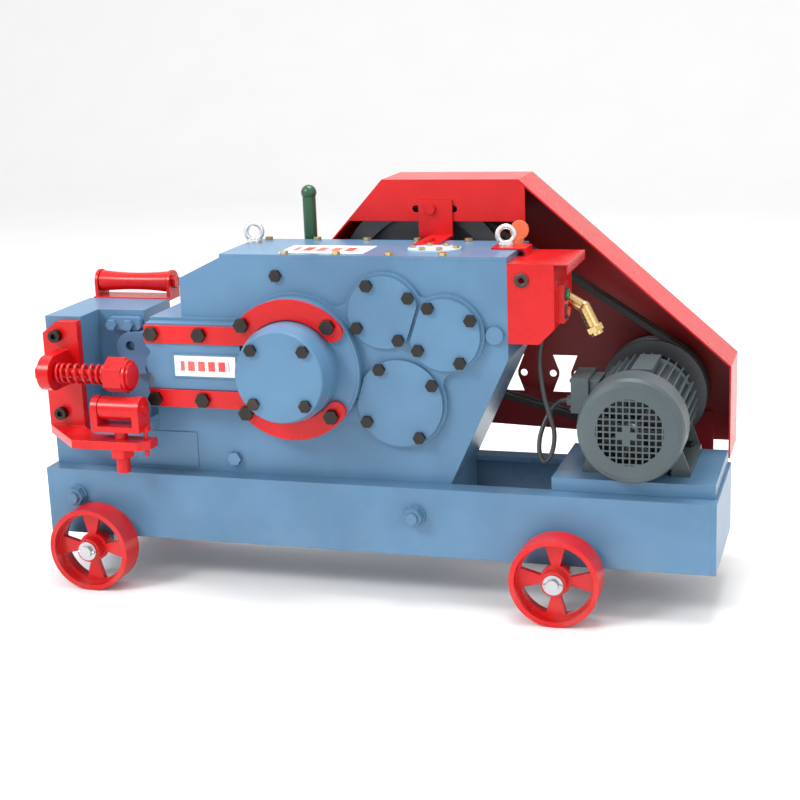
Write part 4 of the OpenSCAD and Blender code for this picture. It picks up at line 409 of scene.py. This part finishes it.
def finish_parts():
    """Gives every part of the frame its material."""
    for material, names in FINISH.items():
        for name in names:
            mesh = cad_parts[name].data
            mesh.materials.clear()
            mesh.materials.append(material)


finish_parts()

# ---- mesh helpers ---------------------------------------------------------------------------------


def piece(name, mesh, material, body, smooth=True):
    """A new object from a bmesh, riding on a body."""
    data = bpy.data.meshes.new(name)
    bmesh.ops.recalc_face_normals(mesh, faces=mesh.faces)
    mesh.to_mesh(data)
    mesh.free()
    for polygon in data.polygons:
        polygon.use_smooth = smooth
    data.materials.append(material)
    obj = bpy.data.objects.new(name, data)
    bpy.context.scene.collection.objects.link(obj)
    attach(obj, body)
    return obj


def axes_along(direction):
    """Two unit vectors square to a direction."""
    d = Vector(direction).normalized()
    side = d.cross(Vector((0, 0, 1)) if abs(d.z) < 0.9 else Vector((1, 0, 0))).normalized()
    return side, d.cross(side)


def sweep(mesh, rings, closed=False):
    """Skins a list of rings of points, with flat ends unless it closes on itself."""
    rows = [[mesh.verts.new(p) for p in ring] for ring in rings]
    n = len(rows[0])
    pairs = list(zip(rows, rows[1:])) + ([(rows[-1], rows[0])] if closed else [])
    for a, b in pairs:
        for k in range(n):
            mesh.faces.new((a[k], b[k], b[(k + 1) % n], a[(k + 1) % n]))
    if not closed:
        mesh.faces.new(rows[0][::-1])
        mesh.faces.new(rows[-1])


def ring_points(centre, side, up, radius, count):
    return [centre + radius * (math.cos(t) * side + math.sin(t) * up)
            for t in (2 * math.pi * k / count for k in range(count))]


def lathe(mesh, centre, direction, profile, count=48):
    """Turns a closed profile of (distance along, radius) pairs about an axis."""
    d = Vector(direction).normalized()
    side, up = axes_along(d)
    turns = []
    for k in range(count):
        t = 2 * math.pi * k / count
        out = math.cos(t) * side + math.sin(t) * up
        turns.append([centre + d * a + out * r for a, r in profile])
    sweep(mesh, turns, closed=True)


def thread(name, centre, direction, length, radius, pitch, material, body, depth=0.0007):
    """A screw thread: one ridge wound round a shank, sinking into it at both ends."""
    d = Vector(direction).normalized()
    side, up = axes_along(d)
    mesh = bmesh.new()
    rings = []
    per_turn = 28
    half = pitch * 0.46
    count = int(length / pitch * per_turn)
    for k in range(count + 1):
        t = 2 * math.pi * k / per_turn
        out = math.cos(t) * side + math.sin(t) * up
        along = centre + d * (half + (length - 2 * half) * k / count)
        fade = min(1, k / 8, (count - k) / 8)
        rings.append([along - d * half + out * (radius - 0.0004), along + out * (radius + depth * fade),
                      along + d * half + out * (radius - 0.0004)])
    sweep(mesh, rings)
    return piece(name, mesh, material, body, smooth=False)


def weld_bead(name, start, end, radius, material, body):
    """A weld run with its overlapping ripples."""
    start, end = Vector(start), Vector(end)
    side, up = axes_along(end - start)
    length = (end - start).length
    mesh = bmesh.new()
    count = max(6, int(length / 0.0009))
    rings = []
    for k in range(count + 1):
        ripple = 1 + 0.16 * abs(math.sin(k * 0.55)) + 0.07 * math.sin(k * 0.13 + length * 50)
        shut = min(1, 0.35 + 0.2 * min(k, count - k))
        rings.append(ring_points(start.lerp(end, k / count), side, up, radius * ripple * shut, 10))
    sweep(mesh, rings)
    return piece(name, mesh, material, body)


def plate(name, a, b, material, body, bevel=0.0004):
    """A thin plate with rounded corners and edges."""
    mesh = bmesh.new()
    a, b = Vector(a), Vector(b)
    bmesh.ops.create_cube(mesh, size=1, matrix=Matrix.Translation((a + b) / 2) @ Matrix.Diagonal(
        (*(b - a), 1)))
    bmesh.ops.bevel(mesh, geom=mesh.edges[:], offset=bevel, segments=3, affect="EDGES", profile=0.5)
    return piece(name, mesh, material, body, smooth=False)


# ---- cable ------------------------------------------------------------------------------------------

MM = 0.001
OFFSET = Vector((-0.600, -0.146, 0.085))
CABLE_R = 0.004


def at(x, y, z):
    """A point given in millimetres from the rails' left, front and underside."""
    return Vector((x, y, z)) * MM + OFFSET


CABLE_ROUTE = [
    (899.5, 89, 374), (899.5, 89, 356), (898, 86, 345), (898, 83, 317), (902, 78, 291), (909, 71, 263),
    (919, 63, 237), (926, 58, 213), (925, 55, 189), (918, 55, 169), (907, 59, 161), (899, 65, 175),
    (898, 74, 197), (904, 84, 221), (914, 95, 242), (926, 103, 254), (937, 104, 257),
    (949, 104, 257),
]


def smooth_route(points, per_span=8):
    """A curve through every point, by the same spline that shapes the solid cable."""
    result = []
    last = len(points) - 1
    for i in range(last):
        a, b = points[max(i - 1, 0)], points[i]
        c, d = points[i + 1], points[min(i + 2, last)]
        for k in range(per_span):
            f = k / per_span
            result.append(0.5 * (2 * b + (c - a) * f + (2 * a - 5 * b + 4 * c - d) * f * f
                                 + (3 * b - a - 3 * c + d) * f ** 3))
    return result + [points[-1]]


def motor_cable():
    """Cable from the switch box to the motor's terminal box, hanging in one loop."""
    route = smooth_route([at(*p) for p in CABLE_ROUTE])
    mesh = bmesh.new()
    side = Vector((1, 0, 0))
    rings = []
    for k, point in enumerate(route):
        ahead = (route[min(k + 1, len(route) - 1)] - route[max(k - 1, 0)]).normalized()
        side = (side - ahead * side.dot(ahead)).normalized()
        rings.append(ring_points(point, side, ahead.cross(side), CABLE_R, 16))
    sweep(mesh, rings)
    cable = piece("motor_cable_sheath", mesh, sheath, "frame")
    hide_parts("motor_cable")


motor_cable()

# ---- spring -------------------------------------------------------------------------------------------


def press_spring():
    """Coil spring round the press rod, with closed ends."""
    a, b = low("press_spring"), high("press_spring")
    centre = (a + b) / 2
    wire_r = 0.003
    coil_r = (b.z - a.z) / 2 - wire_r
    turns = 8.0
    mesh = bmesh.new()
    rings = []
    per_turn = 40
    count = int(turns * per_turn)
    for k in range(count + 1):
        share = k / count
        eased = share - 0.045 * math.sin(2 * math.pi * share)
        t = 2 * math.pi * k / per_turn
        out = Vector((0, math.cos(t), math.sin(t)))
        along = a.x + wire_r + (b.x - a.x - 2 * wire_r) * eased
        point = Vector((along, centre.y, centre.z)) + out * coil_r
        rings.append([point + wire_r * (math.cos(u) * out + math.sin(u) * Vector((1, 0, 0)))
                      for u in (2 * math.pi * n / 14 for n in range(14))])
    sweep(mesh, rings)
    spring = piece("press_spring_coil", mesh, red, "frame")
    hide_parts("press_spring")
    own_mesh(spring)


press_spring()

# ---- threads, welds, labels and trim --------------------------------------------------------------


def stud_threads():
    """Threads on the through bolts' ends and the fork's stem."""
    tie_low, tie_high = low("tie_bolts"), high("tie_bolts")
    centre_z = (tie_low.z + tie_high.z) / 2
    washer = 0.019
    for k, x in enumerate((tie_low.x + washer, tie_high.x - washer)):
        for s, y in ((1, tie_low.y), (-1, tie_high.y)):
            end = Vector((x, y + s * 0.0002, centre_z))
            thread(f"stud_thread_{k}_{'front' if s > 0 else 'rear'}", end, (0, s, 0), 0.0056, 0.010,
                   0.0015, blue, "frame", depth=0.0003)
    stem = Vector((middle("front_roller").x, middle("front_roller").y, low("roller_fork").z + 0.0005))
    thread("fork_stem_thread", stem, (0, 0, 1), 0.027, 0.012, 0.002, red, "roller_fork_body",
           depth=0.0004)


def weld_runs():
    """Weld beads along the ends of the rails."""
    a, b = low("end_plates"), high("end_plates")
    rail_top = high("front_rail").z
    inset = 0.008
    r = 0.0022
    for x, name in ((a.x + inset, "left"), (b.x - inset, "right")):
        foot, head = a.z + 0.010, rail_top - 0.010
        for side, start, end in (
                ("front", (x, a.y + r, foot), (x, a.y + r, head)),
                ("rear", (x, b.y - r, foot), (x, b.y - r, head)),
                ("top", (x, a.y + 0.006, rail_top - r), (x, a.y + 0.034, rail_top - r))):
            weld_bead(f"rail_weld_{name}_{side}", start, end, r, blue, "frame")


def labels():
    """Plain white plates with blank red blocks, on the slider and the cover."""
    slider_low, slider_high = low("slider"), high("slider")
    rib_z = (at(0, 0, 298).z, at(0, 0, 340).z)
    x = (at(270, 0, 0).x, at(384, 0, 0).x)
    centre = ((x[0] + x[1]) / 2, slider_low.y, (rib_z[0] + rib_z[1]) / 2)
    size = (x[1] - x[0], 0.0009, rib_z[1] - rib_z[0] - 0.006)
    material = label("slider label", (centre[0], centre[2], 0), (size[0], size[2], 1))
    swap_up_axis(material)
    plate("slider_label", (x[0], slider_low.y - 0.0006, rib_z[0] + 0.003),
          (x[1], slider_low.y + 0.0004, rib_z[1] - 0.003),
          material, "slider_body")
    top = high("top_cover").z
    a, b = at(452, 56, 0), at(604, 136, 0)
    plate("cover_label", (a.x, a.y, top - 0.0004), (b.x, b.y, top + 0.0006), label(
        "cover label", ((a.x + b.x) / 2, (a.y + b.y) / 2, 0), (b.x - a.x, b.y - a.y, 1)), "frame")


def swap_up_axis(material):
    """Turns a label's pattern upright, for a plate that faces forward."""
    tree = material.node_tree
    mapping = next(n for n in tree.nodes if n.bl_idname == "ShaderNodeMapping")
    source = mapping.inputs["Vector"].links[0].from_socket
    parts = add(tree, "ShaderNodeSeparateXYZ")
    joined = add(tree, "ShaderNodeCombineXYZ")
    wire(tree, source, parts.inputs[0])
    wire(tree, parts.outputs["X"], joined.inputs["X"])
    wire(tree, parts.outputs["Z"], joined.inputs["Y"])
    wire(tree, joined.outputs[0], mapping.inputs["Vector"])


def switch_trim():
    """Black grommet in the switch box's face, and the button station's bezels."""
    mesh = bmesh.new()
    box_low, box_high = low("switch_box"), high("switch_box")
    centre = at(879.5, 36, 472)
    centre.y = box_low.y
    lathe(mesh, centre, (0, 1, 0), [(-0.0012, 0.0052), (-0.0012, 0.0105), (0.0012, 0.0124),
                                    (0.0028, 0.0124), (0.0028, 0.0050)])
    piece("switch_grommet", mesh, black_plastic, "frame")
    for name in ("start_button", "stop_button"):
        a, b = low(name), high(name)
        mesh = bmesh.new()
        face = b.x - 0.0055
        lathe(mesh, Vector((face, (a.y + b.y) / 2, (a.z + b.z) / 2)), (1, 0, 0),
              [(0.0, 0.0085), (0.0, 0.0125), (0.0012, 0.0125), (0.0024, 0.0112), (0.0024, 0.0085)])
        piece(name + "_bezel", mesh, black_plastic, "frame")


stud_threads()
weld_runs()
labels()
switch_trim()

# ---- floor, light and camera --------------------------------------------------------------------------


def floor():
    """Plain pale floor that curves up behind the machine."""
    mesh = bmesh.new()
    width = 14.0
    run = [(-9, 0), (5, 0)] + [(5 + 2.5 * math.sin(t), 2.5 - 2.5 * math.cos(t)) for t in (
        math.pi / 2 * k / 12 for k in range(1, 13))] + [(7.5, 9)]
    rows = [[mesh.verts.new((s * width, y, z)) for s in (-1, 1)] for y, z in run]
    for a, b in zip(rows, rows[1:]):
        mesh.faces.new((a[0], a[1], b[1], b[0]))
    data = bpy.data.meshes.new("floor")
    bmesh.ops.recalc_face_normals(mesh, faces=mesh.faces)
    mesh.to_mesh(data)
    mesh.free()
    for polygon in data.polygons:
        polygon.use_smooth = True
    material, tree, shader = new_material("pale floor")
    place = add(tree, "ShaderNodeTexCoord").outputs["Object"]
    wire(tree, blend_colours(tree, noise(tree, place, 3), (0.82, 0.82, 0.82), (0.86, 0.86, 0.86)),
         shader.inputs["Base Color"])
    shader.inputs["Roughness"].default_value = 0.7
    data.materials.append(material)
    obj = bpy.data.objects.new("floor", data)
    bpy.context.scene.collection.objects.link(obj)


def area_light(name, place, size, power, target=(0, 0, 0.3)):
    data = bpy.data.lights.new(name, "AREA")
    data.shape = "RECTANGLE"
    data.size, data.size_y = size
    data.energy = power
    obj = bpy.data.objects.new(name, data)
    obj.location = place
    obj.rotation_euler = (Vector(target) - Vector(place)).to_track_quat("-Z", "Y").to_euler()
    bpy.context.scene.collection.objects.link(obj)


def studio():
    """Soft light from the front and above, and a bright even surround."""
    area_light("key", (-2.6, -3.0, 3.2), (1.6, 1.2), 130)
    area_light("fill", (3.2, -2.6, 1.8), (2.4, 2.4), 25)
    area_light("top", (0.2, 0.4, 3.6), (2.0, 1.6), 110)
    world = bpy.data.worlds.new("surround")
    world.use_nodes = True
    world.node_tree.nodes["Background"].inputs["Color"].default_value = (1, 1, 1, 1)
    world.node_tree.nodes["Background"].inputs["Strength"].default_value = 1.0
    bpy.context.scene.world = world
    bpy.context.scene.view_settings.view_transform = "Standard"


def camera():
    """Camera at the front, to the right and a little above, level apart from a slight roll."""
    azimuth, elevation, roll = (math.radians(a) for a in (17.42, 14.34, 2.16))
    forward = Vector((-math.sin(azimuth) * math.cos(elevation), math.cos(azimuth) * math.cos(elevation),
                      -math.sin(elevation)))
    level = Vector((math.cos(azimuth), math.sin(azimuth), 0))
    down = forward.cross(level)
    right = math.cos(roll) * level + math.sin(roll) * down
    lower = -math.sin(roll) * level + math.cos(roll) * down
    data = bpy.data.cameras.new("camera")
    data.sensor_width = 36
    data.lens = 70.69
    obj = bpy.data.objects.new("camera", data)
    turn = Matrix((right, -lower, -forward)).transposed()
    obj.matrix_world = Matrix.Translation(at(1437.0, -2421.3, 922.2)) @ turn.to_4x4()
    bpy.context.scene.collection.objects.link(obj)
    bpy.context.scene.camera = obj


floor()
studio()
camera()
